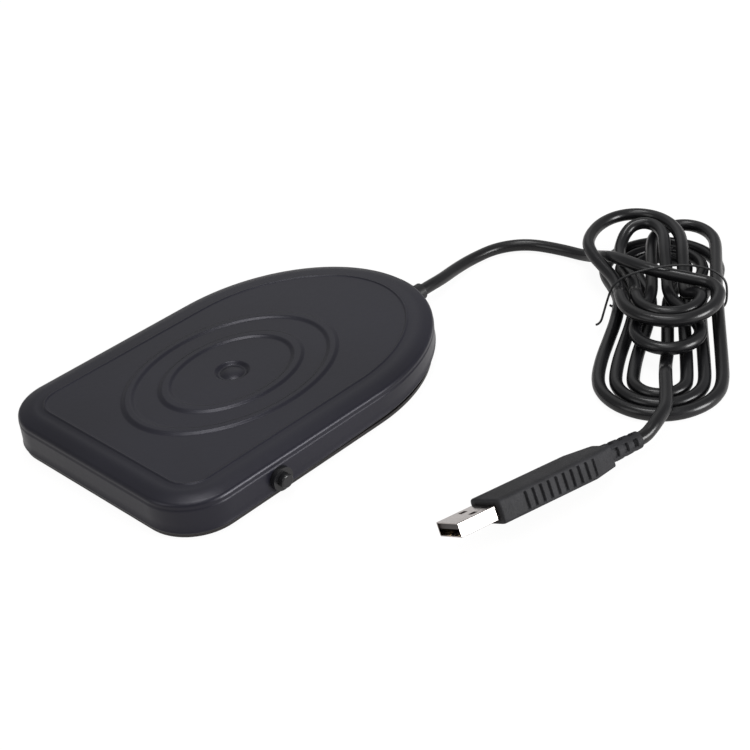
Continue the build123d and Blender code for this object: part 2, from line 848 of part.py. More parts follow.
inner_cord.part.label = "inner_cord"
export_step(inner_cord.part, "parts/inner_cord.step")


# Clamp that holds the cord to the floor, with its screw
with BuildPart() as cord_clamp:
    with BuildSketch(Plane.XZ.offset(-clamp_y)):
        with Locations((cord_exit_x, cord_exit_z)):
            Circle(cord_radius + clamp_sheet)
        with Locations((cord_exit_x, floor_top)):
            Rectangle(clamp_foot + 2 * clamp_screw_radius, clamp_sheet, align=(Align.MIN, Align.MIN))
        with Locations((cord_exit_x, floor_top)):
            Rectangle(cord_radius, cord_exit_z - floor_top, align=(Align.CENTER, Align.MIN))
        with Locations((cord_exit_x, cord_exit_z)):
            Circle(cord_radius, mode=Mode.SUBTRACT)
    extrude(amount=clamp_width / 2, both=True)
    with BuildSketch(Plane.XY.offset(floor_top)):
        with Locations((clamp_screw_x, clamp_y)):
            Circle(clamp_screw_radius)
    extrude(amount=clamp_sheet, mode=Mode.SUBTRACT)

cord_clamp.part.label = "cord_clamp"
export_step(cord_clamp.part, "parts/cord_clamp.step")

with BuildPart() as clamp_screw:
    with BuildSketch(Plane.XY.offset(foot_proud)):
        with Locations((clamp_screw_x, clamp_y)):
            Circle(clamp_screw_radius)
    extrude(amount=floor_sheet + clamp_sheet)
    with BuildSketch(Plane.XY.offset(floor_top + clamp_sheet)):
        with Locations((clamp_screw_x, clamp_y)):
            Circle(clamp_screw_radius * 2)
    extrude(amount=screw_head_height)
    with BuildSketch(Plane.XY.offset(floor_top + clamp_sheet + screw_head_height)):
        with Locations((clamp_screw_x, clamp_y)):
            Rectangle(clamp_screw_radius * 4, screw_slot_width)
    extrude(amount=-screw_slot_depth, mode=Mode.SUBTRACT)

clamp_screw.part.label = "clamp_screw"
export_step(clamp_screw.part, "parts/clamp_screw.step")


# Two insulated wires from the cord's jacket to the outer terminals
wire_low = case_bottom + wire_radius + running_clearance
wire_bend = 4 * wire_radius
wire_run = (inner_cord_end_y - switch_y - switch_length / 2) / 3
with BuildPart() as lead_wires:
    for side, step in ((-1, 1), (1, -1)):
        wire_x = cord_exit_x + side * wire_spread
        end_x = switch_thickness / 2 + screw_head_height + 2 * wire_radius + (side + 1) * wire_radius
        end_y = switch_y + step * terminal_spacing - terminal_width / 2
        with BuildLine() as wire_path:
            FilletPolyline(
                (wire_x, inner_cord_end_y, cord_exit_z),
                (wire_x, inner_cord_end_y - wire_run, cord_exit_z),
                (end_x, inner_cord_end_y - 2 * wire_run, wire_low),
                (end_x, end_y, wire_low),
                radius=wire_bend,
            )
        with BuildSketch(Plane((wire_x, inner_cord_end_y, cord_exit_z), z_dir=(0, -1, 0))):
            Circle(wire_radius)
        sweep(path=wire_path.wire())

lead_wires.part.label = "lead_wires"
export_step(lead_wires.part, "parts/lead_wires.step")


# Hank: its knots, fold by fold, joined by pairs of tangent arcs
def nest_fold(nest, number):
    """One of the folds that lie inside each other on the floor, the outermost numbered 0."""
    reach, half_width, middle, shoulder = nest
    inset = number * nest_pitch
    return reach - inset, half_width - inset, middle, shoulder, 0, 0


def fold_knots(fold, side):
    """Three knots of a fold: the shoulder where it begins, its far point and its other shoulder."""
    reach, half_width, middle, shoulder, first_level, level = fold
    return [
        (side * shoulder, middle + side * half_width, first_level, side, 0, 0),
        (side * reach, middle, level, 0, -side, 0),
        (side * shoulder, middle - side * half_width, level, -side, 0, 0),
    ]


for number in range(nest_folds):
    near_folds.append(nest_fold(near_nest, number))
    far_folds.append(nest_fold(far_nest, number))

waist_step = waist_lift / hank_level
hank_knots = [hank_first_knot]
for near, far, left, right, level in zip(
    near_folds, far_folds, left_columns, right_columns, waist_levels
):
    hank_knots += fold_knots(near, 1)
    hank_knots.append((0, -left * column_pitch, level + waist_step, -1, 0, 0))
    hank_knots += fold_knots(far, -1)
    hank_knots.append((0, right * column_pitch, level + waist_step, 1, 0, 0))
hank_knots += hank_last_knots


def hank_vector(along, across, height):
    """Direction along and across the hank, turned into the pedal's axes."""
    turn = radians(hank_turn)
    return Vector(
        along * cos(turn) - across * sin(turn),
        along * sin(turn) + across * cos(turn),
        height,
    )


def two_arcs(start, start_way, end, end_way):
    """Point and direction where two tangent arcs of equal reach meet between two knots."""
    across = end - start
    both = start_way + end_way
    spread = 2 * (1 - start_way.dot(end_way))
    if spread < 1e-9:
        reach = across.dot(across) / (4 * across.dot(start_way))
    else:
        reach = (
            sqrt(across.dot(both) ** 2 + spread * across.dot(across)) - across.dot(both)
        ) / spread
    first = start + start_way * reach
    second = end - end_way * reach
    return (first + second) * 0.5, (second - first).normalized()


def arc_points(start, way, end, count):
    """Points on the arc that leaves start along way and reaches end, and the arc's length and radius."""
    chord = end - start
    half_turn = acos(max(-1.0, min(1.0, way.dot(chord.normalized()))))
    if half_turn < 1e-6:
        return [start + chord * (i / count) for i in range(count)], chord.length, 1e9
    radius = chord.length / (2 * sin(half_turn))
    side = (chord.normalized() - way * cos(half_turn)).normalized()
    points = []
    for i in range(count):
        angle = 2 * half_turn * i / count
        points.append(start + way * (radius * sin(angle)) + side * (radius * (1 - cos(angle))))
    return points, 2 * half_turn * radius, radius


origin_of_hank = Vector(hank_waist[0], hank_waist[1], 0)
hank_stops = []
for along, across, level, *way in hank_knots:
    place = hank_vector(along, across, hank_floor_z + level * hank_level)
    hank_stops.append((origin_of_hank + place, hank_vector(*way).normalized()))
hank_start, hank_start_way = hank_stops[0]
hank_end, hank_end_way = hank_stops[-1]
hank_start_face = hank_start - hank_start_way * tube_start
hank_end_face = hank_end + hank_end_way * tube_start

hank_centres = [hank_start_face]
hank_radii = []
hank_length = 2 * tube_start
with BuildPart() as cord_hank:
    with BuildLine() as hank_path:
        Line(hank_start_face, hank_start)
        for (a, a_way), (b, b_way) in zip(hank_stops[:-1], hank_stops[1:]):
            middle, middle_way = two_arcs(a, a_way, b, b_way)
            for start, way, end in ((a, a_way, middle), (middle, middle_way, b)):
                TangentArc(start, end, tangent=way)
                points, length, radius = arc_points(start, way, end, 16)
                hank_centres += points
                hank_length += length
                hank_radii.append(radius)
        Line(hank_end, hank_end_face)
    hank_centres.append(hank_end_face)
    with BuildSketch(Plane(hank_start_face, z_dir=hank_start_way)):
        Circle(cord_radius)
    sweep(path=hank_path.wire())

cord_hank.part.label = "cord_hank"
export_step(cord_hank.part, "parts/cord_hank.step")


def report_tube(name, volume, length):
    """Print how a tube's volume compares with its section times its length."""
    print(name, "volume share", round(volume / (pi * cord_radius**2 * length), 4))


def self_gap(centres):
    """Least gap between stretches of one tube that aren't neighbours along it."""
    travelled = [0.0]
    for a, b in zip(centres[:-1], centres[1:]):
        travelled.append(travelled[-1] + (b - a).length)
    least = travelled[-1]
    for i, a in enumerate(centres):
        for j in range(i + 1, len(centres)):
            if travelled[j] - travelled[i] > 4 * cord_diameter:
                b = centres[j]
                dx, dy, dz = a.X - b.X, a.Y - b.Y, a.Z - b.Z
                apart = dx * dx + dy * dy + dz * dz
                if apart < least * least:
                    least = sqrt(apart)
    return least - cord_diameter


report_tube("hank", cord_hank.part.volume, hank_length)
print("hank length", round(hank_length), "least radius", round(min(hank_radii), 2))
print("hank least gap to itself", round(self_gap(hank_centres), 2))


def route_radii(points):
    """Bend radius at each inner point of a route, from the shorter run beside it."""
    radii = []
    for a, b, c in zip(points[:-2], points[1:-1], points[2:]):
        before = (b - a).normalized()
        after = (c - b).normalized()
        half_turn = acos(max(-1.0, min(1.0, before.dot(after)))) / 2
        radii.append(fold_share * min((b - a).length, (c - b).length) / tan(half_turn))
    return radii


# Free lead: out of the bushing, over the floor and up across the hank's waist
lead_route = [
    Vector(cord_exit_x, bushing_tip, cord_exit_z),
    Vector(cord_exit_x, bushing_tip + tube_start, cord_exit_z),
    *[Vector(*point) for point in lead_points],
    hank_start_face - hank_start_way * 2 * tube_start,
    hank_start_face,
]
with BuildPart() as cord_lead:
    with BuildLine() as lead_path:
        FilletPolyline(*lead_route, radius=route_radii(lead_route))
    with BuildSketch(Plane(lead_route[0], z_dir=(0, 1, 0))):
        Circle(cord_radius)
    sweep(path=lead_path.wire())

cord_lead.part.label = "cord_lead"
export_step(cord_lead.part, "parts/cord_lead.step")
report_tube("lead", cord_lead.part.volume, lead_path.wire().length)
print("lead length", round(lead_path.wire().length))
print("lead radii", [round(radius, 1) for radius in route_radii(lead_route)])



heading = radians(plug_heading)
pitch = radians(plug_pitch)
plug_way = Vector(-sin(heading) * cos(pitch), -cos(heading) * cos(pitch), sin(pitch))
level_side = Vector(cos(heading), -sin(heading), 0)
plug_side = level_side.rotate(Axis((0, 0, 0), plug_way), plug_roll)
plug_face = Plane(Vector(*plug_front), x_dir=plug_side, z_dir=plug_way)
relief_rear = plug_face.offset(-mould_length - relief_length).origin

# Tail: from the hank into the plug's strain relief
tail_route = [
    hank_end_face,
    hank_end_face + hank_end_way * tail_straight,
    relief_rear - plug_way * tail_straight,
    relief_rear,
]
with BuildPart() as cord_tail:
    with BuildLine() as tail_path:
        FilletPolyline(*tail_route, radius=route_radii(tail_route))
    with BuildSketch(Plane(hank_end_face, z_dir=hank_end_way)):
        Circle(cord_radius)
    sweep(path=tail_path.wire())

cord_tail.part.label = "cord_tail"
export_step(cord_tail.part, "parts/cord_tail.step")
report_tube("tail", cord_tail.part.volume, tail_path.wire().length)
print("tail length", round(tail_path.wire().length))
print("tail radii", [round(radius, 1) for radius in route_radii(tail_route)])
cord_total = lead_path.wire().length + hank_length + tail_path.wire().length
print("cord length outside the pedal", round(cord_total))

with BuildPart() as plug_overmould:
    with BuildSketch(plug_face):
        RectangleRounded(mould_width, mould_thickness, mould_corner)
    extrude(amount=mould_rear_length - mould_length)
    with BuildSketch(plug_face.offset(mould_rear_length - mould_length)):
        RectangleRounded(mould_width, mould_thickness, mould_corner)
    with BuildSketch(plug_face.offset(-mould_length)):
        RectangleRounded(mould_rear_width, mould_rear_thickness, mould_corner)
    loft(ruled=True)
    with BuildSketch(plug_face.offset(-mould_length)):
        Circle(relief_front_radius)
    with BuildSketch(plug_face.offset(-mould_length - relief_length)):
        Circle(relief_rear_radius)
    loft(ruled=True)
    # Grip lines on both narrow sides
    for i in range(grip_count):
        with BuildSketch(plug_face.offset(-grip_start - i * grip_pitch)):
            with Locations((-mould_width / 2, 0), (mould_width / 2, 0)):
                Rectangle(2 * grip_depth, grip_height)
        extrude(amount=-grip_width, mode=Mode.SUBTRACT)
    # Slots round the strain relief, every other row turned by a quarter
    for i in range(relief_slot_rows):
        slot_start = mould_length + relief_slot_start + i * relief_slot_pitch
        slot_radius = relief_front_radius
        slot_floor = cord_radius + cord_radius / 6
        with BuildSketch(plug_face.offset(-slot_start)):
            for turn in (0, 90, 180, 270):
                with Locations(Location((0, 0, 0), (0, 0, turn))):
                    with Locations((slot_floor, 0)):
                        Rectangle(
                            slot_radius,
                            relief_slot_height,
                            align=(Align.MIN, Align.CENTER),
                        )
        extrude(amount=-relief_slot_width, mode=Mode.SUBTRACT)
    # Room for the shell's root and the board
    with BuildSketch(plug_face):
        Rectangle(shell_width, shell_height)
    extrude(amount=-shell_depth, mode=Mode.SUBTRACT)
    with BuildSketch(plug_face.offset(-shell_depth)):
        Rectangle(board_width, board_thickness + 2 * chip_height)
    extrude(amount=-board_length - board_rear_gap, mode=Mode.SUBTRACT)

plug_overmould.part.label = "plug_overmould"
export_step(plug_overmould.part, "parts/plug_overmould.step")

with BuildPart() as plug_shell:
    with BuildSketch(plug_face.offset(-shell_depth)):
        RectangleRounded(shell_width, shell_height, shell_sheet)
        Rectangle(shell_width - 2 * shell_sheet, shell_height - 2 * shell_sheet, mode=Mode.SUBTRACT)
    extrude(amount=shell_depth + shell_length)
    with BuildSketch(plug_face.offset(shell_hole_from_mould)):
        with Locations((-shell_hole_spacing / 2, 0), (shell_hole_spacing / 2, 0)):
            Rectangle(shell_hole_width, 2 * shell_height)
    extrude(amount=shell_hole_length, mode=Mode.SUBTRACT)

plug_shell.part.label = "plug_shell"
export_step(plug_shell.part, "parts/plug_shell.step")

inside_width = shell_width - 2 * shell_sheet
inside_half = shell_height / 2 - shell_sheet
contact_places = [
    (step * contact_spacing, inside_half - tongue_height) for step in (-1.5, -0.5, 0.5, 1.5)
]
with BuildPart() as plug_insulator:
    with BuildSketch(plug_face.offset(-shell_depth)):
        Rectangle(inside_width, 2 * inside_half)
    extrude(amount=shell_depth)
    with BuildSketch(plug_face):
        with Locations((0, inside_half)):
            Rectangle(inside_width, tongue_height, align=(Align.CENTER, Align.MAX))
    extrude(amount=shell_length - tongue_recess)
    with BuildSketch(plug_face):
        with Locations(*contact_places):
            Rectangle(contact_width, contact_thickness, align=(Align.CENTER, Align.MIN))
    extrude(amount=shell_length - contact_mouth_gap, mode=Mode.SUBTRACT)

plug_insulator.part.label = "plug_insulator"
export_step(plug_insulator.part, "parts/plug_insulator.step")

with BuildPart() as plug_contacts:
    with BuildSketch(plug_face):
        with Locations(*contact_places):
            Rectangle(contact_width, contact_thickness, align=(Align.CENTER, Align.MIN))
    extrude(amount=shell_length - contact_mouth_gap)

plug_contacts.part.label = "plug_contacts"
export_step(plug_contacts.part, "parts/plug_contacts.step")

with BuildPart() as plug_board:
    with BuildSketch(plug_face.offset(-shell_depth)):
        Rectangle(board_width, board_thickness)
    extrude(amount=-board_length)

plug_board.part.label = "plug_board"
export_step(plug_board.part, "parts/plug_board.step")

with BuildPart() as plug_chip:
    with BuildSketch(plug_face.offset(-shell_depth - board_length / 2)):
        with Locations((0, board_thickness / 2)):
            Rectangle(chip_size, chip_height, align=(Align.CENTER, Align.MIN))
    extrude(amount=chip_size / 2, both=True)

plug_chip.part.label = "plug_chip"
export_step(plug_chip.part, "parts/plug_chip.step")


# Tie round the waist, over the lead
tie_route = [origin_of_hank + hank_vector(*point) for point in tie_points]
with BuildPart() as hank_tie:
    with BuildLine() as tie_path:
        FilletPolyline(*tie_route, radius=tie_bend)
    with BuildSketch(Plane(tie_route[0], z_dir=tie_route[1] - tie_route[0])):
        Circle(tie_radius)
    sweep(path=tie_path.wire())

hank_tie.part.label = "hank_tie"
export_step(hank_tie.part, "parts/hank_tie.step")
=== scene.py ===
"""Dressed scene of a low steel foot pedal with its cord, tied hank and USB plug. Metres."""

import math

import bpy
import numpy as np
from mathutils import Matrix, Vector


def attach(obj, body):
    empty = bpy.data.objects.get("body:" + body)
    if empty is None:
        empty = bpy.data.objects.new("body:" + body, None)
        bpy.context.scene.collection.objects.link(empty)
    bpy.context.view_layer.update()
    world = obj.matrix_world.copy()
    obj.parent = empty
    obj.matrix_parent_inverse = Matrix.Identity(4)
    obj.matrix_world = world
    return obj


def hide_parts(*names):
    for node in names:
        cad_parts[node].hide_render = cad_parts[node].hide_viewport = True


bl_info = {
    "name": "Foot pedal dresser",
    "version": (1, 0, 0),
    "blender": (4, 5, 0),
    "location": "View3D > Sidebar > Pedal",
    "description": "Dresses a foot pedal switch, its cord and its plug with surfaces and finishes",
    "category": "Object",
}

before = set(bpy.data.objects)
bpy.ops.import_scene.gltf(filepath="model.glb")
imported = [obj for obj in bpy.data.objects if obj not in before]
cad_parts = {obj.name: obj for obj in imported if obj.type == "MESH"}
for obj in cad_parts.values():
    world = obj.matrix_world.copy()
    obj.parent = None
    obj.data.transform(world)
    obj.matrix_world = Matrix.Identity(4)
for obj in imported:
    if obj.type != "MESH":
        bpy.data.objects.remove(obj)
MM = 0.001

# Camera that fits the photograph, in metres, with its focal length in pixels of a 750 pixel picture
CAMERA_AZIMUTH = math.radians(47.0327)
CAMERA_ELEVATION = math.radians(32.8833)
CAMERA_ROLL = math.radians(-6.0)
CAMERA_DISTANCE = 0.5643606
CAMERA_TARGET = Vector((0.0255268, 0.03363, 0))
FOCAL_PIXELS = 1600.0
PICTURE_PIXELS = 750.0
SENSOR_WIDTH = 36.0

# Soft round lamps: name, place, size and share of the key light's power
LAMPS = (
    ("rear_softbox", (-0.95, 0.88, 1.0), 1.0, 0.08),
    ("top_softbox", (-0.19, 0.18, 1.48), 0.5, 0.5),
    ("near_softbox", (0.38, -0.36, 1.42), 0.9, 0.35),
    ("right_softbox", (1.35, 0.5, 0.42), 0.7, 1.8),
    ("front_softbox", (-0.3, -1.3, 0.8), 0.9, 0.3),
)
LAMP_TARGET = Vector((0.03, 0.03, 0))
FLOOR_COLOUR = (0.66, 0.64, 0.63)
FLOOR_GLOW = 1.1
GLOW_SEEN = 0.85
GLOW_MIRRORED = 0.25

# Treadle in millimetres, as the steel pressing, but with its front 0.2 further in for the rolled lip
HALF_WIDTH = 49.5
FRONT_Y = -73.05
REAR_Y = 73.25
ROUND_END = 61.0
FRONT_CORNER = 18.5
TOP_Z = 14.6
RING_CENTRE = np.array([0.0, -8.9])
RING_RATIO = 1.38
RINGS = ((30.9, 26.7), (20.9, 16.4))
RING_HEIGHT = 0.6
RING_SLOPE = 1.6
DIMPLE_RADIUS = 6.3
DIMPLE_SLOPE = 1.6
DIMPLE_DEPTH = 0.9
WALL_STEP_Z = 11.2
WALL_STEP = 0.12
SHOULDER_RADIUS = 1.6
SHOULDER_END = math.radians(74)
CROWN_END = 6.7
BORDER_INSET = 9.5
RIM_INSET = 12.5
PIVOT_Y = -34.4
SKIRT_GAP = 2.25
SKIRT_TILT = 0.024
CURL_START_Y = 5.0
SKIRT_REAR_RISE = 0.85

# Rows of the treadle's skin: columns, rolled lip as inset and rise, border line and the sheet's inside
SKIN_COLUMNS = 480
LIP_INSIDE = 0.45
LIP_EDGE = 0.2
LIP_CHAMFER = 0.1
LIP_ROWS = ((-0.1, 0.12), (-0.2, 0.4), (-0.14, 0.7), (0.0, 0.95))
LIP_HEIGHT = 0.95
WALL_SHARES = (0.3, 0.6, 0.9)
BORDER_HALF = 0.6
BORDER_BLEND = 0.5
BORDER_HEIGHT = 0.3
BORDER_END = 10.8
SHEET = 1.0
INNER_WALL_Z = 11.2
INNER_SHOULDER = (2.6, 12.6)
INNER_CROWN = (6.0, 13.45)
INNER_RIM_Z = 13.6
INNER_MIDDLE_Z = 12.7
POLE_SHARE = 0.001

# Flat inside the rim: where its stretches end, out from the rings' centre, and the rows in each
FLAT_ENDS = (31.4, 26.2, 21.4, 15.9, 6.5, 0.02)
FLAT_ROWS = (12, 36, 6, 38, 8, 30)

# Notch in the rear skirt, over the cord's bushing
NOTCH_X = 6.6
NOTCH_HALF = 5.3
NOTCH_BLEND = 0.7
NOTCH_TOP = 12.5
NOTCH_BEHIND = 60.0
NOTCH_ROOF = 13.2
ROW_GAP = 0.04
ROOF_GAP = 0.09
ROOF_STEP = 0.01


class Paint:
    """Wraps a material's socket so that shader maths reads as plain expressions."""

    def __init__(self, material, socket):
        self.material = material
        self.socket = socket

    def node(self, kind, settings=None, sockets=None, out=0):
        """Adds a node of a type, sets its settings, then its sockets, and wraps one of its outputs."""
        tree = self.material.node_tree
        made = tree.nodes.new(kind)
        for key, value in (settings or {}).items():
            setattr(made, key, value)
        for key, value in (sockets or {}).items():
            if isinstance(value, Paint):
                tree.links.new(value.socket, made.inputs[key])
            else:
                made.inputs[key].default_value = value
        return Paint(self.material, made.outputs[out])

    def maths(self, operation, other):
        """A Math node on this value and another."""
        return self.node("ShaderNodeMath", {"operation": operation}, {0: self, 1: other})

    def __add__(self, other):
        return self.maths("ADD", other)

    __radd__ = __add__

    def __mul__(self, other):
        return self.maths("MULTIPLY", other)

    __rmul__ = __mul__

    def smooth(self, low, high):
        """Smooth step of this value between two places."""
        sockets = {"Value": self, 1: low, 2: high}
        return self.node("ShaderNodeMapRange", {"interpolation_type": "SMOOTHSTEP"}, sockets)

    def blend(self, first, second):
        """Mix of two colours by this value."""
        sockets = {0: self, 6: first, 7: second}
        return self.node("ShaderNodeMix", {"data_type": "RGBA"}, sockets, out=2)


class Finish:
    """A material with its Principled shader and its object coordinates at hand."""

    def __init__(self, name, colour, roughness, **constants):
        self.material = bpy.data.materials.new(name)
        self.material.use_nodes = True
        nodes = self.material.node_tree.nodes
        self.shader = nodes["Principled BSDF"]
        self.material.diffuse_color = (*colour, 1.0)
        self.set("Base Color", (*colour, 1.0))
        self.set("Roughness", roughness)
        for key, value in constants.items():
            self.set(key.replace("_", " "), value)
        coordinates = nodes.new("ShaderNodeTexCoord")
        self.place = Paint(self.material, coordinates.outputs["Object"])

    def set(self, name, value):
        """Sets a shader socket to a number or colour, or links it."""
        socket = self.shader.inputs[name]
        if isinstance(value, Paint):
            self.material.node_tree.links.new(value.socket, socket)
        else:
            socket.default_value = value

    def noise(self, scale, detail=2.0, where=None):
        """Noise of a size on the object's coordinates, from 0 to 1."""
        sockets = {"Vector": where or self.place, "Scale": scale, "Detail": detail}
        return self.place.node("ShaderNodeTexNoise", {}, sockets)

    def bump(self, height, strength, distance):
        """Feeds the shader's normal from a height."""
        sockets = {"Height": height, "Strength": strength, "Distance": distance}
        self.set("Normal", self.place.node("ShaderNodeBump", {}, sockets))


def speckled(name, colour, roughness, grain, strength, vary=0.25, **constants):
    """Finish whose tone and gloss drift slowly, with a fine grain in its normal."""
    finish = Finish(name, colour, roughness, **constants)
    drift = finish.noise(38.0, 3.0)
    fine = finish.noise(grain, 2.0)
    darker = tuple(c * (1 - vary) for c in colour) + (1.0,)
    lighter = tuple(min(1.0, c * (1 + vary)) for c in colour) + (1.0,)
    finish.set("Base Color", drift.smooth(0.3, 0.7).blend(darker, lighter))
    finish.set("Roughness", drift * 0.08 + fine * 0.06 + (roughness - 0.07))
    finish.bump(fine, strength, 0.0002)
    return finish.material


def brushed(name, colour, roughness, stretch):
    """Bare metal with fine lines drawn along one axis."""
    finish = Finish(name, colour, roughness, Metallic=1.0)
    drawn = finish.place.node("ShaderNodeMapping", {}, {"Vector": finish.place, "Scale": stretch})
    lines = finish.noise(900.0, 3.0, drawn)
    cloud = finish.noise(60.0)
    darker = tuple(c * 0.82 for c in colour) + (1.0,)
    finish.set("Base Color", cloud.smooth(0.35, 0.65).blend(darker, (*colour, 1.0)))
    finish.set("Roughness", lines * 0.16 + (roughness - 0.08))
    finish.bump(lines, 0.12, 0.0001)
    return finish.material


def mesh_piece(name, points, material, body):
    """Closed mesh at the origin from rows of points in metres, with one face over each end row."""
    count, columns = points.shape[:2]
    last = (count - 1) * columns
    faces = grid_faces(count, columns).tolist()
    faces += [list(range(columns))[::-1], list(range(last, last + columns))]
    mesh = bpy.data.meshes.new(name)
    mesh.from_pydata(points.reshape(-1, 3).tolist(), [], faces)
    mesh.polygons.foreach_set("use_smooth", np.full(len(mesh.polygons), True))
    mesh.update()
    piece = bpy.data.objects.new(name, mesh)
    bpy.context.scene.collection.objects.link(piece)
    piece.data.materials.append(material)
    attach(piece, body)
    return piece


def grid_faces(rows, columns):
    """Quads of a grid whose columns close on themselves, as an array of four indices each."""
    row, column = np.meshgrid(np.arange(rows - 1), np.arange(columns), indexing="ij")
    after = (column + 1) % columns
    quads = (row * columns + column, row * columns + after)
    quads += ((row + 1) * columns + after, (row + 1) * columns + column)
    return np.stack(quads, -1).reshape(-1, 4)


def outline(count):
    """Treadle's outline and inward normals at equal steps: lines, two front arcs and half an ellipse."""
    shoulder = REAR_Y - ROUND_END
    turn = np.linspace(0, math.pi, 1200)
    back = np.stack([HALF_WIDTH * np.cos(turn), shoulder + ROUND_END * np.sin(turn)], 1)
    turn = np.linspace(0, math.pi / 2, 240)
    corner_x = HALF_WIDTH - FRONT_CORNER
    corner_y = FRONT_Y + FRONT_CORNER
    left = np.stack([-corner_x - FRONT_CORNER * np.cos(turn), corner_y - FRONT_CORNER * np.sin(turn)], 1)
    right = np.stack([corner_x + FRONT_CORNER * np.sin(turn), corner_y - FRONT_CORNER * np.cos(turn)], 1)
    path = np.concatenate([back, left, right, back[:1]])
    steps = np.linalg.norm(np.diff(path, axis=0), axis=1)
    keep = np.concatenate([[True], steps > 1e-9])
    path = path[keep]
    travelled = np.concatenate([[0], np.cumsum(np.linalg.norm(np.diff(path, axis=0), axis=1))])
    at = np.linspace(0, travelled[-1], count, endpoint=False)
    points = np.stack([np.interp(at, travelled, path[:, i]) for i in (0, 1)], 1)
    along = np.roll(points, -1, 0) - np.roll(points, 1, 0)
    along /= np.linalg.norm(along, axis=1)[:, None]
    return points, np.stack([-along[:, 1], along[:, 0]], 1)


def ease(value):
    """Smooth step from 0 to 1: 3v squared less 2v cubed, held at both ends."""
    value = np.clip(value, 0, 1)
    return value * value * (3 - 2 * value)


def ring_reach(points):
    """Elliptical distance from the rings' centre: x beside y over the rings' ratio."""
    away = points - RING_CENTRE
    return np.hypot(away[..., 0], away[..., 1] / RING_RATIO)


def ring_height(points):
    """Height of the two pressed rings: a plateau between two distances, each side a smooth step."""
    reach = ring_reach(points)
    height = np.zeros_like(reach)
    for outer, inner in RINGS:
        height += RING_HEIGHT * ease((outer - reach) / RING_SLOPE) * ease((reach - inner) / RING_SLOPE)
    return height


def dimple_height(points):
    """Depth of the middle dimple: a smooth step down between two radii."""
    reach = np.linalg.norm(points - RING_CENTRE, axis=-1)
    return -DIMPLE_DEPTH * ease((DIMPLE_RADIUS - reach) / DIMPLE_SLOPE)


class PedalSizes(bpy.types.PropertyGroup):
    """Sizes and colours of the pedal's dress."""

    enamel: bpy.props.FloatVectorProperty(
        name="Enamel", description="Colour of the black enamel", subtype="COLOR",
        default=(0.0095, 0.0093, 0.0145),
    )
    enamel_roughness: bpy.props.FloatProperty(
        name="Enamel roughness", description="How satin the enamel is", default=0.33, min=0.05, max=1.0
    )
    vinyl: bpy.props.FloatVectorProperty(
        name="Cord vinyl", description="Colour of the cord's jacket", subtype="COLOR",
        default=(0.006, 0.006, 0.007),
    )
    cord_diameter: bpy.props.FloatProperty(
        name="Cord diameter", description="Thickness of the cord", default=0.0046, unit="LENGTH"
    )


class StageSizes(bpy.types.PropertyGroup):
    """Light and floor."""

    floor_reach: bpy.props.FloatProperty(
        name="Floor reach", description="Half the floor's side", default=3.0, unit="LENGTH"
    )
    key_power: bpy.props.FloatProperty(
        name="Key light", description="Power that each lamp has a share of", default=11.0, min=0.0
    )
    fill: bpy.props.FloatProperty(
        name="Surround", description="Strength of the even light from all round", default=0.34, min=0.0
    )


class PEDAL_OT_camera(bpy.types.Operator):
    """Sets the camera at the photograph's angle"""

    bl_idname = "pedal.camera"
    bl_label = "Camera"

    def execute(self, context):
        level = math.cos(CAMERA_ELEVATION)
        right = Vector((math.cos(CAMERA_AZIMUTH), math.sin(CAMERA_AZIMUTH), 0))
        back = Vector((right.y * level, -right.x * level, math.sin(CAMERA_ELEVATION)))
        up = back.cross(right)
        turned = right * math.cos(CAMERA_ROLL) + up * math.sin(CAMERA_ROLL)
        upright = up * math.cos(CAMERA_ROLL) - right * math.sin(CAMERA_ROLL)
        spot = CAMERA_TARGET + back * CAMERA_DISTANCE
        data = bpy.data.cameras.new("photo_camera")
        data.sensor_width = SENSOR_WIDTH
        data.lens = FOCAL_PIXELS / PICTURE_PIXELS * SENSOR_WIDTH
        data.clip_start = 0.01
        camera = bpy.data.objects.new("photo_camera", data)
        context.scene.collection.objects.link(camera)
        camera.matrix_world = Matrix((
            (turned.x, upright.x, back.x, spot.x),
            (turned.y, upright.y, back.y, spot.y),
            (turned.z, upright.z, back.z, spot.z),
            (0, 0, 0, 1),
        ))
        context.scene.camera = camera
        return {"FINISHED"}


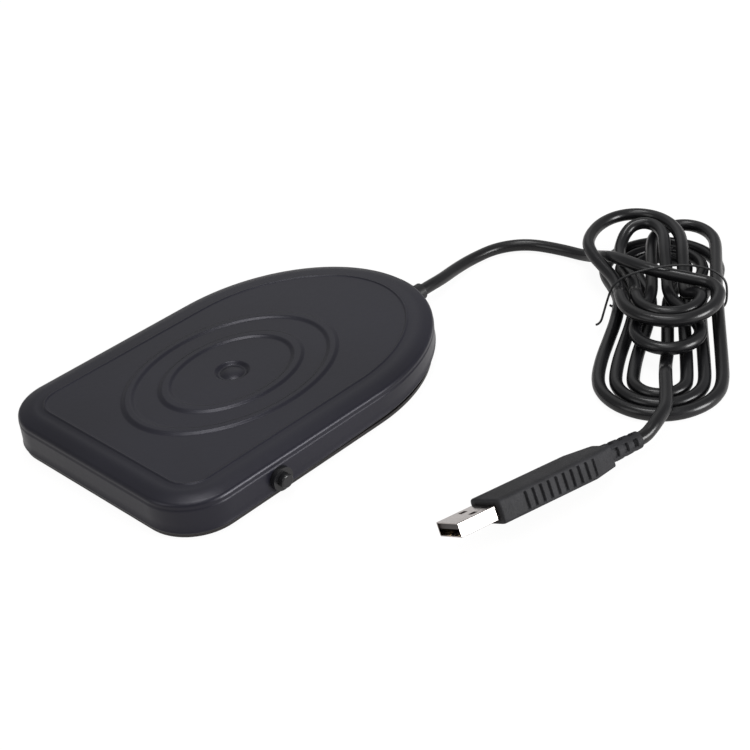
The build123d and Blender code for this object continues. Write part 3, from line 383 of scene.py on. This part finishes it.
class PEDAL_OT_stage(bpy.types.Operator):
    """Makes the floor, the surround and the lamps"""

    bl_idname = "pedal.stage"
    bl_label = "Stage"

    def execute(self, context):
        sizes = context.scene.pedal_stage
        reach = sizes.floor_reach
        corners = np.array([(-reach, -reach, 0), (reach, -reach, 0), (reach, reach, 0), (-reach, reach, 0)])
        mesh = bpy.data.meshes.new("floor")
        mesh.from_pydata(corners.tolist(), [], [(0, 1, 2, 3)])
        floor = bpy.data.objects.new("floor", mesh)
        context.scene.collection.objects.link(floor)
        floor.data.materials.append(self.floor_paint())
        self.surround(sizes.fill)
        for name, spot, size, share in LAMPS:
            data = bpy.data.lights.new(name, "AREA")
            data.shape = "DISK"
            data.size = size
            data.energy = sizes.key_power * share
            lamp = bpy.data.objects.new(name, data)
            lamp.location = spot
            aim = LAMP_TARGET - lamp.location
            lamp.rotation_euler = aim.to_track_quat("-Z", "Y").to_euler()
            context.scene.collection.objects.link(lamp)
        context.scene.view_settings.view_transform = "Standard"
        return {"FINISHED"}

    def floor_paint(self):
        """Pale floor that glows white to the eye, less so in gloss, and keeps part of the shadow."""
        finish = Finish("floor_white", FLOOR_COLOUR, 0.9)
        tree = finish.material.node_tree
        path = tree.nodes.new("ShaderNodeLightPath")
        seen = Paint(finish.material, path.outputs["Is Camera Ray"]) * GLOW_SEEN
        seen = seen + Paint(finish.material, path.outputs["Is Glossy Ray"]) * GLOW_MIRRORED
        glow = tree.nodes.new("ShaderNodeEmission")
        glow.inputs["Color"].default_value = (1, 1, 1, 1)
        glow.inputs["Strength"].default_value = FLOOR_GLOW
        mixed = tree.nodes.new("ShaderNodeMixShader")
        tree.links.new(seen.socket, mixed.inputs[0])
        tree.links.new(finish.shader.outputs[0], mixed.inputs[1])
        tree.links.new(glow.outputs[0], mixed.inputs[2])
        tree.links.new(mixed.outputs[0], tree.nodes["Material Output"].inputs[0])
        return finish.material

    def surround(self, strength):
        """Even pale surround of a strength, white where the eye sees it."""
        world = bpy.data.worlds.new("surround")
        bpy.context.scene.world = world
        world.use_nodes = True
        tree = world.node_tree
        tree.nodes.clear()
        path = tree.nodes.new("ShaderNodeLightPath")
        plain = tree.nodes.new("ShaderNodeBackground")
        plain.inputs["Strength"].default_value = strength
        white = tree.nodes.new("ShaderNodeBackground")
        white.inputs["Strength"].default_value = 1.0
        for made in (plain, white):
            made.inputs["Color"].default_value = (1, 1, 1, 1)
        mixed = tree.nodes.new("ShaderNodeMixShader")
        output = tree.nodes.new("ShaderNodeOutputWorld")
        tree.links.new(path.outputs["Is Camera Ray"], mixed.inputs[0])
        tree.links.new(plain.outputs[0], mixed.inputs[1])
        tree.links.new(white.outputs[0], mixed.inputs[2])
        tree.links.new(mixed.outputs[0], output.inputs[0])


# Cord's free lead in millimetres: the solids' route, moved to follow the photograph
LEAD_POINTS = (
    (6.6, 79.15, 6.0),
    (6.6, 83.75, 6.0),
    (5.6, 92.2, 5.0),
    (3.2, 102.0, 3.6),
    (1.9, 113.0, 2.5),
    (4.0, 125.8, 2.5),
    (12.0, 135.2, 2.5),
    (25.0, 138.9, 2.5),
    (38.0, 139.4, 3.2),
    (49.5, 134.4, 9.2),
    (61.0, 128.0, 15.2),
    (74.0, 126.3, 15.9),
)

# Hank's place and turn, the heights of its levels and the pitches of its strands, in millimetres
HANK_WAIST = np.array([81.0, 126.25])
HANK_TURN = math.radians(-55.2)
HANK_SPIN = np.array([
    [math.cos(HANK_TURN), math.sin(HANK_TURN)],
    [-math.sin(HANK_TURN), math.cos(HANK_TURN)],
])
FLOOR_Z = 2.42
LEVEL = 5.5
WAIST_LIFT = 0.88
COLUMN_PITCH = 5.75
NEST_PITCH = 5.95
RUN_IN = 4.6

# Plug's front, the way it points and its length without the shell, in millimetres
PLUG_FRONT = np.array([115.2, -10.2, 9.0])
PLUG_HEADING = math.radians(10.7)
PLUG_PITCH = math.radians(3.0)
PLUG_ROLL = math.radians(28.2)
PLUG_LENGTH = 61.5
TAIL_STRAIGHT = 3.0

# Plug's moulding in millimetres, with the places counted back from its front
PLUG_COLUMNS = 192
PLUG_STEP = 0.15
NOSE_ROWS = 8
NOSE_END = 1.2
MOULD_LENGTH = 46.5
MOULD_HALF_WIDTH = 8.0
MOULD_HALF_HEIGHT = 4.0
MOULD_POWER = 9.0
WIDTH_TAPER = 2.75
HEIGHT_TAPER = 0.4
TAPER_START = 37.0
NOSE_ROUND = 0.8
RELIEF_RADIUS = 3.5
RELIEF_TAPER = 0.6
GRIP_FIRST = 9.8
GRIP_PITCH = 3.0
GRIP_START = 8.6
GRIP_END = 38.0
GRIP_HALF = 0.62
GRIP_HALF_HEIGHT = 2.9
GRIP_DEPTH = 0.85
GRIP_BLEND = 0.28
GRIP_END_BLEND = 0.3
GRIP_REACH = 1.0
SLOT_FIRST = 49.9
SLOT_PITCH = 4.2
SLOT_START = 47.8
SLOT_END = 60.2
SLOT_HALF = 0.95
SLOT_HALF_TURN = 0.56
SLOT_BLEND = 0.2
SLOT_TURN_BLEND = 0.08
SLOT_DEPTH_SHARE = 0.3
RELIEF_POWER = 2.0
MOUTH_HALF_SIZES = (6.03, 2.28)
MOUTH_POWER = 12.0
MOUTH_DEPTH = 3.0
CORD_HOLE = 2.33
CORD_HOLE_START = 61.45
CORD_HOLE_END = 58.0
NODES_ON_CORD = ("plug_shell", "plug_insulator", "plug_contacts", "plug_board", "plug_chip")

# Hank's points between two knots
POINTS_PER_KNOT = 4

# Tie in millimetres: along and across the hank, and height
TIE_RADIUS = 0.42
TIE_POINTS = (
    (17.0, -22.0, 4.6),
    (12.5, -20.8, 2.4),
    (5.0, -20.0, 2.2),
    (2.4, -18.9, 5.5),
    (2.8, -16.9, 12.6),
    (2.6, -12.0, 16.6),
    (0.8, -3.5, 18.4),
    (-0.6, 5.0, 19.1),
    (-1.0, 13.0, 18.6),
    (-0.7, 19.5, 16.6),
    (-0.4, 23.2, 13.0),
    (0, 23.9, 8.5),
    (0, 23.6, 2.6),
    (0, 20.4, 0.45),
    (0, 2.0, 0.45),
    (0, -15.0, 0.45),
    (-0.3, -18.0, 2.4),
)

# Raised folds: reach, half width, middle, shoulder, then the levels that they begin and stay on
NEAR_FOLDS = [
    (29.0, 17.2, 3.5, 12.0, 2.15, 2),
    (23.4, 11.4, 3.3, 12.0, 2, 2),
    (38.0, 11.5, 3.0, 26.0, 1, 1),
]
FAR_FOLDS = [
    (51.0, 17.5, -9.6, 27.0, 2, 2),
    (43.5, 8.3, -7.0, 29.0, 1, 2),
    (52.0, 12.0, 8.5, 36.0, 1, 1),
]

# Folds that lie inside each other on the floor: reach, half width, middle and shoulder of the outermost
NEAR_NEST = (70.0, 21.0, 0.5, 49.0)
FAR_NEST = (48.0, 21.4, 0.5, 27.0)

# Strands that cross the waist, turn by turn: pitches to the left, pitches to the right, and level
LEFT_COLUMNS = (2.5, 1.5, 0.5, 2.5, 1.5, 0.5)
RIGHT_COLUMNS = (1.5, 0.5, 3.5, 2.5, 1.5, 0.5)
WAIST_LEVELS = (1, 1, 1, 0, 0, 0)

# First and last knots: along, across, level, then the cord's direction there
FIRST_KNOT = (3.0, 15.5, 2.2, 0.30, 0.95, -0.05)
LAST_KNOTS = (
    (30.0, 3.0, 0, 1, 0, 0),
    (41.0, 2.4, 0, 1, 0, 0),
    (54.0, 2.4, 1, 1, 0, 0),
    (69.2, 2.7, 0.98, 1, -0.04, 0),
    (75.7, 1.6, 0.95, 0.92, -0.40, -0.12),
)


def nest_fold(nest, number):
    """One of the folds that lie inside each other on the floor, the outermost numbered 0."""
    reach, half_width, middle, shoulder = nest
    inset = number * NEST_PITCH
    return reach - inset, half_width - inset, middle, shoulder, 0, 0


def fold_knots(fold, side):
    """Three knots of a fold: the shoulder where it begins, its far point and its other shoulder."""
    reach, half_width, middle, shoulder, first_level, level = fold
    return [
        (side * shoulder, middle + side * half_width, first_level, side, 0, 0),
        (side * reach, middle, level, 0, -side, 0),
        (side * shoulder, middle - side * half_width, level, -side, 0, 0),
    ]


def hank_knots():
    """Knots of the hank, fold by fold: along, across, level, then the cord's direction there."""
    near_folds = NEAR_FOLDS + [nest_fold(NEAR_NEST, number) for number in range(3)]
    far_folds = FAR_FOLDS + [nest_fold(FAR_NEST, number) for number in range(3)]
    lift = WAIST_LIFT / LEVEL
    knots = [FIRST_KNOT]
    folds = zip(near_folds, far_folds, LEFT_COLUMNS, RIGHT_COLUMNS, WAIST_LEVELS)
    for near, far, left, right, level in folds:
        knots += fold_knots(near, 1)
        knots.append((0, -left * COLUMN_PITCH, level + lift, -1, 0, 0))
        knots += fold_knots(far, -1)
        knots.append((0, right * COLUMN_PITCH, level + lift, 1, 0, 0))
    return np.array([*knots, *LAST_KNOTS], float)


def hank_route():
    """Hank's points and its two end directions.

    Between two knots the cord is a cubic whose end slopes are the knots' directions times a reach. The
    reach is the chord, longer where the direction turns: chord times (1 + (1 - cosine of the turn) / 8).
    """
    knots = hank_knots()
    heights = FLOOR_Z + knots[:, 2:3] * LEVEL
    places = np.concatenate([knots[:, :2] @ HANK_SPIN + HANK_WAIST, heights], 1)
    ways = np.concatenate([knots[:, 3:5] @ HANK_SPIN, knots[:, 5:6]], 1)
    ways /= np.linalg.norm(ways, axis=1)[:, None]
    a, b = places[:-1, None], places[1:, None]
    u, v = ways[:-1, None], ways[1:, None]
    chord = np.linalg.norm(b - a, axis=2)[..., None]
    turn = 1 - np.sum(u * v, axis=2)[..., None]
    reach = chord * (1 + turn / 8)
    t = np.linspace(0, 1, POINTS_PER_KNOT, endpoint=False)[None, :, None]
    points = (2 * t**3 - 3 * t**2 + 1) * a + (t**3 - 2 * t**2 + t) * reach * u
    points = points + (3 * t**2 - 2 * t**3) * b + (t**3 - t**2) * reach * v
    start = places[:1] - RUN_IN * ways[:1]
    end = places[-1:] + RUN_IN * ways[-1:]
    return np.concatenate([start, points.reshape(-1, 3), places[-1:], end]), ways[0], ways[-1]


def tube_piece(name, route, radius, material):
    """Round tube along one smooth spline, whose control points are the route, in metres."""
    curve = bpy.data.curves.new(name, "CURVE")
    curve.dimensions = "3D"
    curve.bevel_depth = radius
    curve.bevel_resolution = 6
    curve.resolution_u = 10
    curve.use_fill_caps = True
    spline = curve.splines.new("NURBS")
    spline.points.add(len(route) - 1)
    spline.points.foreach_set("co", np.concatenate([route, np.ones((len(route), 1))], 1).ravel())
    spline.order_u = 3
    spline.use_endpoint_u = True
    tube = bpy.data.objects.new(name, curve)
    bpy.context.scene.collection.objects.link(tube)
    tube.data.materials.append(material)
    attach(tube, "base")
    return tube


class PEDAL_OT_tie(bpy.types.Operator):
    """Winds the thin tie round the hank's waist, over the lead"""

    bl_idname = "pedal.tie"
    bl_label = "Tie"

    def execute(self, context):
        points = np.array(TIE_POINTS)
        flat = points[:, :2] @ HANK_SPIN + HANK_WAIST
        route = np.concatenate([flat, points[:, 2:]], 1) * MM
        plastic = speckled("tie_plastic", (0.012, 0.012, 0.013), 0.45, 800.0, 0.08)
        tie = tube_piece("tie_wire", route, TIE_RADIUS * MM, plastic)
        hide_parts("hank_tie")
        return {"FINISHED"}


class PEDAL_OT_cord(bpy.types.Operator):
    """Lays the cord: lead, tied hank and tail as one spline"""

    bl_idname = "pedal.cord"
    bl_label = "Cord"

    def execute(self, context):
        sizes = context.scene.pedal_sizes
        hank, first_way, last_way = hank_route()
        way = plug_way()
        relief = PLUG_FRONT - way * PLUG_LENGTH
        before = hank[0] - 2 * RUN_IN * first_way
        tail = np.array([hank[-1] + TAIL_STRAIGHT * last_way, relief - TAIL_STRAIGHT * way, relief])
        route = np.concatenate([LEAD_POINTS, [before], hank, tail]) * MM
        gloss = {"Coat_Weight": 0.15, "Specular_IOR_Level": 0.35}
        vinyl = speckled("cord_vinyl", tuple(sizes.vinyl), 0.32, 700.0, 0.06, **gloss)
        cord = tube_piece("cord", route, sizes.cord_diameter / 2, vinyl)
        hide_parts("cord_lead", "cord_hank", "cord_tail")
        pieces = [bpy.data.objects["plug_skin"], bpy.data.objects["tie_wire"]]
        pieces += [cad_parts[name] for name in NODES_ON_CORD]
        return {"FINISHED"}


def skirt_profile():
    """Wall, shoulder, crown and border line as insets and heights.

    The shoulder is an arc that ends at the crown's slope, and the crown a quarter sine up to the flat. The
    border line is a smooth ridge.
    """
    turn = np.linspace(0, SHOULDER_END, 12)
    rise = CROWN_END - WALL_STEP - SHOULDER_RADIUS * (1 - math.cos(SHOULDER_END))
    crown_height = rise / math.tan(SHOULDER_END) * 2 / math.pi
    centre_z = TOP_Z - crown_height - SHOULDER_RADIUS * math.sin(SHOULDER_END)
    inset = WALL_STEP + SHOULDER_RADIUS * (1 - np.cos(turn))
    height = centre_z + SHOULDER_RADIUS * np.sin(turn)
    along = np.linspace(0, 1, 13)[1:]
    inset = np.concatenate([[0, WALL_STEP], inset, inset[-1] + rise * along])
    crown = height[-1] + crown_height * np.sin(along * math.pi / 2)
    height = np.concatenate([[WALL_STEP_Z, WALL_STEP_Z + WALL_STEP], height, crown])
    line = np.linspace(-BORDER_HALF, BORDER_HALF, 13)
    ridge = TOP_Z + BORDER_HEIGHT * ease((BORDER_HALF - np.abs(line)) / BORDER_BLEND)
    inset = np.concatenate([inset, BORDER_INSET + line, [BORDER_END, RIM_INSET]])
    height = np.concatenate([height, ridge, [TOP_Z, TOP_Z]])
    return inset, height


def skirt_low(edge):
    """Height of the skirt's lower edge: level in front, tilted behind the pivot, curling up at the rear."""
    behind = np.maximum(edge[:, 1] - PIVOT_Y, 0)
    curl = np.maximum(edge[:, 1] - CURL_START_Y, 0) / (REAR_Y - CURL_START_Y)
    return SKIRT_GAP + SKIRT_TILT * behind + SKIRT_REAR_RISE * curl**2


def skirt_ring(edge, inward, inset, z):
    """One row of the skin: the outline moved inwards by an inset, at a height."""
    inset = np.broadcast_to(inset, len(edge))[:, None]
    z = np.broadcast_to(z, len(edge))[:, None]
    return np.concatenate([edge + inward * inset, z], 1)


def outer_rows(edge, inward, low, notch):
    """Rows of the lip, the wall, the shoulder, the crown and the border, kept above the notch's roof."""
    beside = np.maximum(1 - notch, 0)
    insets = [LIP_INSIDE, LIP_EDGE]
    heights = [low + LIP_CHAMFER, low]
    for inset, rise in LIP_ROWS:
        insets.append(inset * beside)
        heights.append(low + rise * beside + ROW_GAP * notch * rise)
    wall = low + LIP_HEIGHT
    for share in WALL_SHARES:
        insets.append(0.0)
        heights.append(np.maximum(wall + (WALL_STEP_Z - wall) * share, low + ROW_GAP * (1 + share)))
    for number, (inset, z) in enumerate(zip(*skirt_profile())):
        insets.append(inset)
        heights.append(np.maximum(z, low + ROOF_GAP + ROOF_STEP * number) if z < NOTCH_ROOF else z)
    return [skirt_ring(edge, inward, inset, z) for inset, z in zip(insets, heights)]


def flat_rows(rim):
    """Rows from the rim to the rings' centre, at even steps within each stretch.

    A stretch over a ring or the dimple has rows at both its ends, and the others have none there.
    """
    reach = ring_reach(rim)
    ends = (reach, *FLAT_ENDS)
    rows = []
    for number, (start, end, count) in enumerate(zip(ends, ends[1:], FLAT_ROWS)):
        whole = number % 2
        for share in (np.arange(count) + 1 - whole) / (count + 1 - 2 * whole):
            place = start + (end - start) * share
            flat = RING_CENTRE + (rim - RING_CENTRE) * (place / reach)[:, None]
            z = TOP_Z + ring_height(flat) + dimple_height(flat)
            rows.append(np.concatenate([flat, z[:, None]], 1))
    return rows


def inner_rows(edge, inward, low):
    """Rows of the sheet's inside, from the skirt's edge up to the middle."""
    shoulder_inset, shoulder_z = INNER_SHOULDER
    rim = edge + inward * RIM_INSET
    middle = RING_CENTRE + (rim - RING_CENTRE) * POLE_SHARE
    return [
        skirt_ring(edge, inward, SHEET, low + LIP_CHAMFER),
        skirt_ring(edge, inward, SHEET, np.maximum(low + 2 * LIP_CHAMFER, INNER_WALL_Z)),
        skirt_ring(edge, inward, shoulder_inset, np.maximum(low + 3 * LIP_CHAMFER, shoulder_z)),
        skirt_ring(edge, inward, *INNER_CROWN),
        skirt_ring(edge, inward, RIM_INSET, INNER_RIM_Z),
        np.concatenate([middle, np.full((len(edge), 1), INNER_MIDDLE_Z)], 1),
    ]


class PEDAL_OT_treadle(bpy.types.Operator):
    """Makes the treadle's pressed cover as one closed skin"""

    bl_idname = "pedal.treadle"
    bl_label = "Treadle"

    def execute(self, context):
        edge, inward = outline(SKIN_COLUMNS)
        notch = ease((NOTCH_HALF - np.abs(edge[:, 0] - NOTCH_X)) / NOTCH_BLEND)
        notch = notch * (edge[:, 1] > NOTCH_BEHIND)
        low = skirt_low(edge)
        low = low + (NOTCH_TOP - low) * notch
        rows = inner_rows(edge, inward, low)[::-1]
        rows += outer_rows(edge, inward, low, notch)
        rows += flat_rows(edge + inward * RIM_INSET)
        finish = enamel(context.scene.pedal_sizes)
        skin = mesh_piece("treadle_skin", np.stack(rows) * MM, finish, "treadle")
        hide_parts("treadle_cover")
        return {"FINISHED"}


def enamel(sizes):
    """Satin black enamel: a slow drift of tone and gloss and a fine orange peel."""
    finish = Finish("treadle_enamel", tuple(sizes.enamel), sizes.enamel_roughness)
    finish.set("Specular IOR Level", 0.34)
    finish.set("Specular Tint", (0.93, 0.92, 1.0, 1.0))
    drift = finish.noise(16.0, 3.0)
    peel = finish.noise(520.0, 2.0)
    colour = tuple(sizes.enamel)
    darker = tuple(c * 0.85 for c in colour) + (1.0,)
    lighter = tuple(c * 1.2 for c in colour) + (1.0,)
    finish.set("Base Color", drift.smooth(0.3, 0.7).blend(darker, lighter))
    finish.set("Roughness", drift * 0.06 + peel * 0.05 + (sizes.enamel_roughness - 0.055))
    finish.bump(peel, 0.1, 0.0002)
    return finish.material


def plug_way():
    """Direction that the plug points in, from its heading and its pitch."""
    level = math.cos(PLUG_PITCH)
    return np.array([
        -math.sin(PLUG_HEADING) * level,
        -math.cos(PLUG_HEADING) * level,
        math.sin(PLUG_PITCH),
    ])


def plug_axes():
    """Plug's way, its width direction and its thickness direction."""
    way = plug_way()
    side = np.array([-way[1], way[0], 0])
    side /= np.linalg.norm(side)
    upright = np.cross(way, side)
    turned = side * math.cos(PLUG_ROLL) + upright * math.sin(PLUG_ROLL)
    return way, turned, np.cross(way, turned)


class PEDAL_OT_plug(bpy.types.Operator):
    """Makes the plug's moulding: rounded oblong sections, grip grooves and a slotted relief"""

    bl_idname = "pedal.plug"
    bl_label = "Plug"

    def execute(self, context):
        way, side, upright = plug_axes()
        turn = np.linspace(0, 2 * math.pi, PLUG_COLUMNS, endpoint=False)

        def section(back, width, height, power):
            """Oblong of two half sizes: cosine and sine over them, each to a power, add up to one."""
            shape = np.abs(np.cos(turn) / width) ** power + np.abs(np.sin(turn) / height) ** power
            around = shape ** (-1 / power)
            return around * np.cos(turn), around * np.sin(turn), np.broadcast_to(back, around.shape)

        def place(across, tall, back):
            """Points at three plug coordinates, in millimetres."""
            return PLUG_FRONT - way * back[..., None] + side * across[..., None] + upright * tall[..., None]

        nose = np.linspace(0, NOSE_END, NOSE_ROWS)
        body = np.arange(NOSE_END + PLUG_STEP, CORD_HOLE_START, PLUG_STEP)
        back = np.concatenate([nose, body])[:, None]
        width, height = plug_half_sizes(back)
        power = np.where(back < MOULD_LENGTH, MOULD_POWER, RELIEF_POWER)
        across, tall, back = section(back, width, height, power)
        across = across - np.sign(across) * GRIP_DEPTH * grip_lines(back, across, tall, width)
        cut = 1 - SLOT_DEPTH_SHARE * relief_slots(back, turn)
        mouth = [
            place(*section(depth, *MOUTH_HALF_SIZES, MOUTH_POWER))[None] for depth in (MOUTH_DEPTH, 0.0)
        ]
        root = [
            place(*section(depth, CORD_HOLE, CORD_HOLE, RELIEF_POWER))[None]
            for depth in (CORD_HOLE_START, CORD_HOLE_END)
        ]
        points = np.concatenate([*mouth, place(across * cut, tall * cut, back), *root])[::-1]
        skin = mesh_piece("plug_skin", points * MM, plug_vinyl(), "base")
        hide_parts("plug_overmould")
        return {"FINISHED"}


def plug_half_sizes(back):
    """Half width and half height: a body with a round nose, narrower at its rear, then the relief."""
    body = back < MOULD_LENGTH
    taper = np.clip((back - TAPER_START) / (MOULD_LENGTH - TAPER_START), 0, 1)
    relief = RELIEF_RADIUS - RELIEF_TAPER * (back - MOULD_LENGTH) / (PLUG_LENGTH - MOULD_LENGTH)
    arc = 1 - np.sqrt(np.clip(1 - (1 - back / NOSE_ROUND) ** 2, 0, 1))
    nose = NOSE_ROUND * arc * (back < NOSE_ROUND)
    width = np.where(body, MOULD_HALF_WIDTH - WIDTH_TAPER * taper - nose, relief)
    height = np.where(body, MOULD_HALF_HEIGHT - HEIGHT_TAPER * taper - nose, relief)
    return width, height


def grip_lines(back, across, tall, width):
    """Grooves at even steps across both narrow sides, 1 in a groove and 0 beside it."""
    step = (back - GRIP_FIRST) / GRIP_PITCH
    away = np.abs(step - np.round(step)) * GRIP_PITCH
    lines = ease((GRIP_HALF - away) / GRIP_BLEND) * (back > GRIP_START) * (back < GRIP_END)
    lines = lines * ease((GRIP_HALF_HEIGHT - np.abs(tall)) / GRIP_END_BLEND)
    return lines * ease((np.abs(across) - (width - GRIP_REACH)) / GRIP_END_BLEND)


def relief_slots(back, turn):
    """Windows at even steps along the strain relief, between four ribs that run along it."""
    step = (back - SLOT_FIRST) / SLOT_PITCH
    away = np.abs(step - np.round(step)) * SLOT_PITCH
    window = ease((SLOT_HALF - away) / SLOT_BLEND) * (back > SLOT_START) * (back < SLOT_END)
    rib = np.abs(np.mod(turn + math.pi / 4, math.pi / 2) - math.pi / 4)
    return window * ease((SLOT_HALF_TURN - rib) / SLOT_TURN_BLEND)


class PEDAL_OT_finishes(bpy.types.Operator):
    """Gives every carried-over piece of the pedal and plug its finish"""

    bl_idname = "pedal.finishes"
    bl_label = "Finishes"

    def execute(self, context):
        sizes = context.scene.pedal_sizes
        painted = speckled("pan_enamel", (0.012, 0.01, 0.01), 0.4, 520.0, 0.08)
        black = speckled("bush_moulding", (0.009, 0.009, 0.01), 0.25, 600.0, 0.05)
        rubber = speckled("foot_rubber", (0.025, 0.025, 0.025), 0.75, 900.0, 0.2)
        grey = speckled("switch_moulding", (0.05, 0.05, 0.055), 0.5, 900.0, 0.1)
        steel = brushed("spring_steel", (0.5, 0.5, 0.52), 0.3, (1.0, 14.0, 14.0))
        zinc = brushed("zinc_steel", (0.62, 0.63, 0.66), 0.38, (8.0, 8.0, 1.0))
        brass = brushed("terminal_brass", (0.8, 0.62, 0.3), 0.28, (14.0, 1.0, 14.0))
        gold = brushed("contact_gold", (0.9, 0.7, 0.34), 0.22, (14.0, 1.0, 14.0))
        finishes = {
            "base_pan": painted,
            "rubber_feet": rubber,
            "pivot_axle": black,
            "axle_clips": steel,
            "pivot_bushes": black,
            "centre_rivet": enamel(sizes),
            "rivet_washer": zinc,
            "leaf_spring": steel,
            "switch_case": grey,
            "switch_cover": grey,
            "lever_pin": steel,
            "switch_lever": steel,
            "switch_plunger": speckled("plunger_moulding", (0.5, 0.06, 0.05), 0.45, 900.0, 0.08),
            "switch_terminals": brass,
            "switch_bracket": zinc,
            "bracket_rivets": zinc,
            "switch_screws": zinc,
            "actuator_pad": rubber,
            "rest_bumpers": rubber,
            "travel_stops": rubber,
            "cord_bushing": speckled("bushing_rubber", (0.008, 0.008, 0.009), 0.4, 700.0, 0.1),
            "inner_cord": speckled("inner_vinyl", tuple(sizes.vinyl), 0.3, 700.0, 0.06),
            "cord_clamp": zinc,
            "clamp_screw": zinc,
            "lead_wires": speckled("wire_vinyl", (0.5, 0.03, 0.03), 0.35, 700.0, 0.05),
            "plug_shell": brushed("shell_nickel", (0.48, 0.445, 0.43), 0.12, (1.0, 1.0, 12.0)),
            "plug_insulator": speckled("insulator_moulding", (0.03, 0.022, 0.02), 0.4, 900.0, 0.06),
            "plug_contacts": gold,
            "plug_board": speckled("board_laminate", (0.03, 0.18, 0.08), 0.4, 700.0, 0.05),
            "plug_chip": speckled("chip_moulding", (0.02, 0.02, 0.02), 0.5, 900.0, 0.08),
        }
        for name, material in finishes.items():
            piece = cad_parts[name]
            piece.data.materials.clear()
            piece.data.materials.append(material)
        return {"FINISHED"}


def plug_vinyl():
    """Matt moulding of the plug: a fine, even grain and slightly paler patches."""
    finish = Finish("plug_vinyl", (0.012, 0.012, 0.014), 0.45)
    finish.set("Specular IOR Level", 0.35)
    grain = finish.noise(1500.0, 2.0)
    worn = finish.noise(120.0, 2.0)
    plain = (0.011, 0.011, 0.013, 1.0)
    paler = (0.019, 0.019, 0.022, 1.0)
    finish.set("Base Color", worn.smooth(0.35, 0.7).blend(plain, paler))
    finish.set("Roughness", grain * 0.14 + 0.6)
    finish.bump(grain, 0.6, 0.0003)
    return finish.material


class PEDAL_PT_panel(bpy.types.Panel):
    """Lists the pedal's sizes and steps"""

    bl_idname = "PEDAL_PT_panel"
    bl_label = "Foot pedal"
    bl_space_type = "VIEW_3D"
    bl_region_type = "UI"
    bl_category = "Pedal"

    def draw(self, context):
        layout = self.layout
        for group in (context.scene.pedal_sizes, context.scene.pedal_stage):
            for name in group.__annotations__:
                layout.prop(group, name)
        for step in STEPS:
            layout.operator(step.bl_idname)


STEPS = (
    PEDAL_OT_camera,
    PEDAL_OT_plug,
    PEDAL_OT_tie,
    PEDAL_OT_cord,
    PEDAL_OT_stage,
    PEDAL_OT_treadle,
    PEDAL_OT_finishes,
)
CLASSES = (PedalSizes, StageSizes, *STEPS, PEDAL_PT_panel)


def register():
    for made in CLASSES:
        bpy.utils.register_class(made)
    bpy.types.Scene.pedal_sizes = bpy.props.PointerProperty(type=PedalSizes)
    bpy.types.Scene.pedal_stage = bpy.props.PointerProperty(type=StageSizes)


def unregister():
    del bpy.types.Scene.pedal_stage
    del bpy.types.Scene.pedal_sizes
    for made in reversed(CLASSES):
        bpy.utils.unregister_class(made)


def main():
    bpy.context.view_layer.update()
    register()
    bpy.ops.pedal.camera()
    bpy.ops.pedal.plug()
    bpy.ops.pedal.tie()
    bpy.ops.pedal.cord()
    bpy.ops.pedal.stage()
    bpy.ops.pedal.treadle()
    bpy.ops.pedal.finishes()
    bpy.context.view_layer.update()


if __name__ == "__main__":
    main()
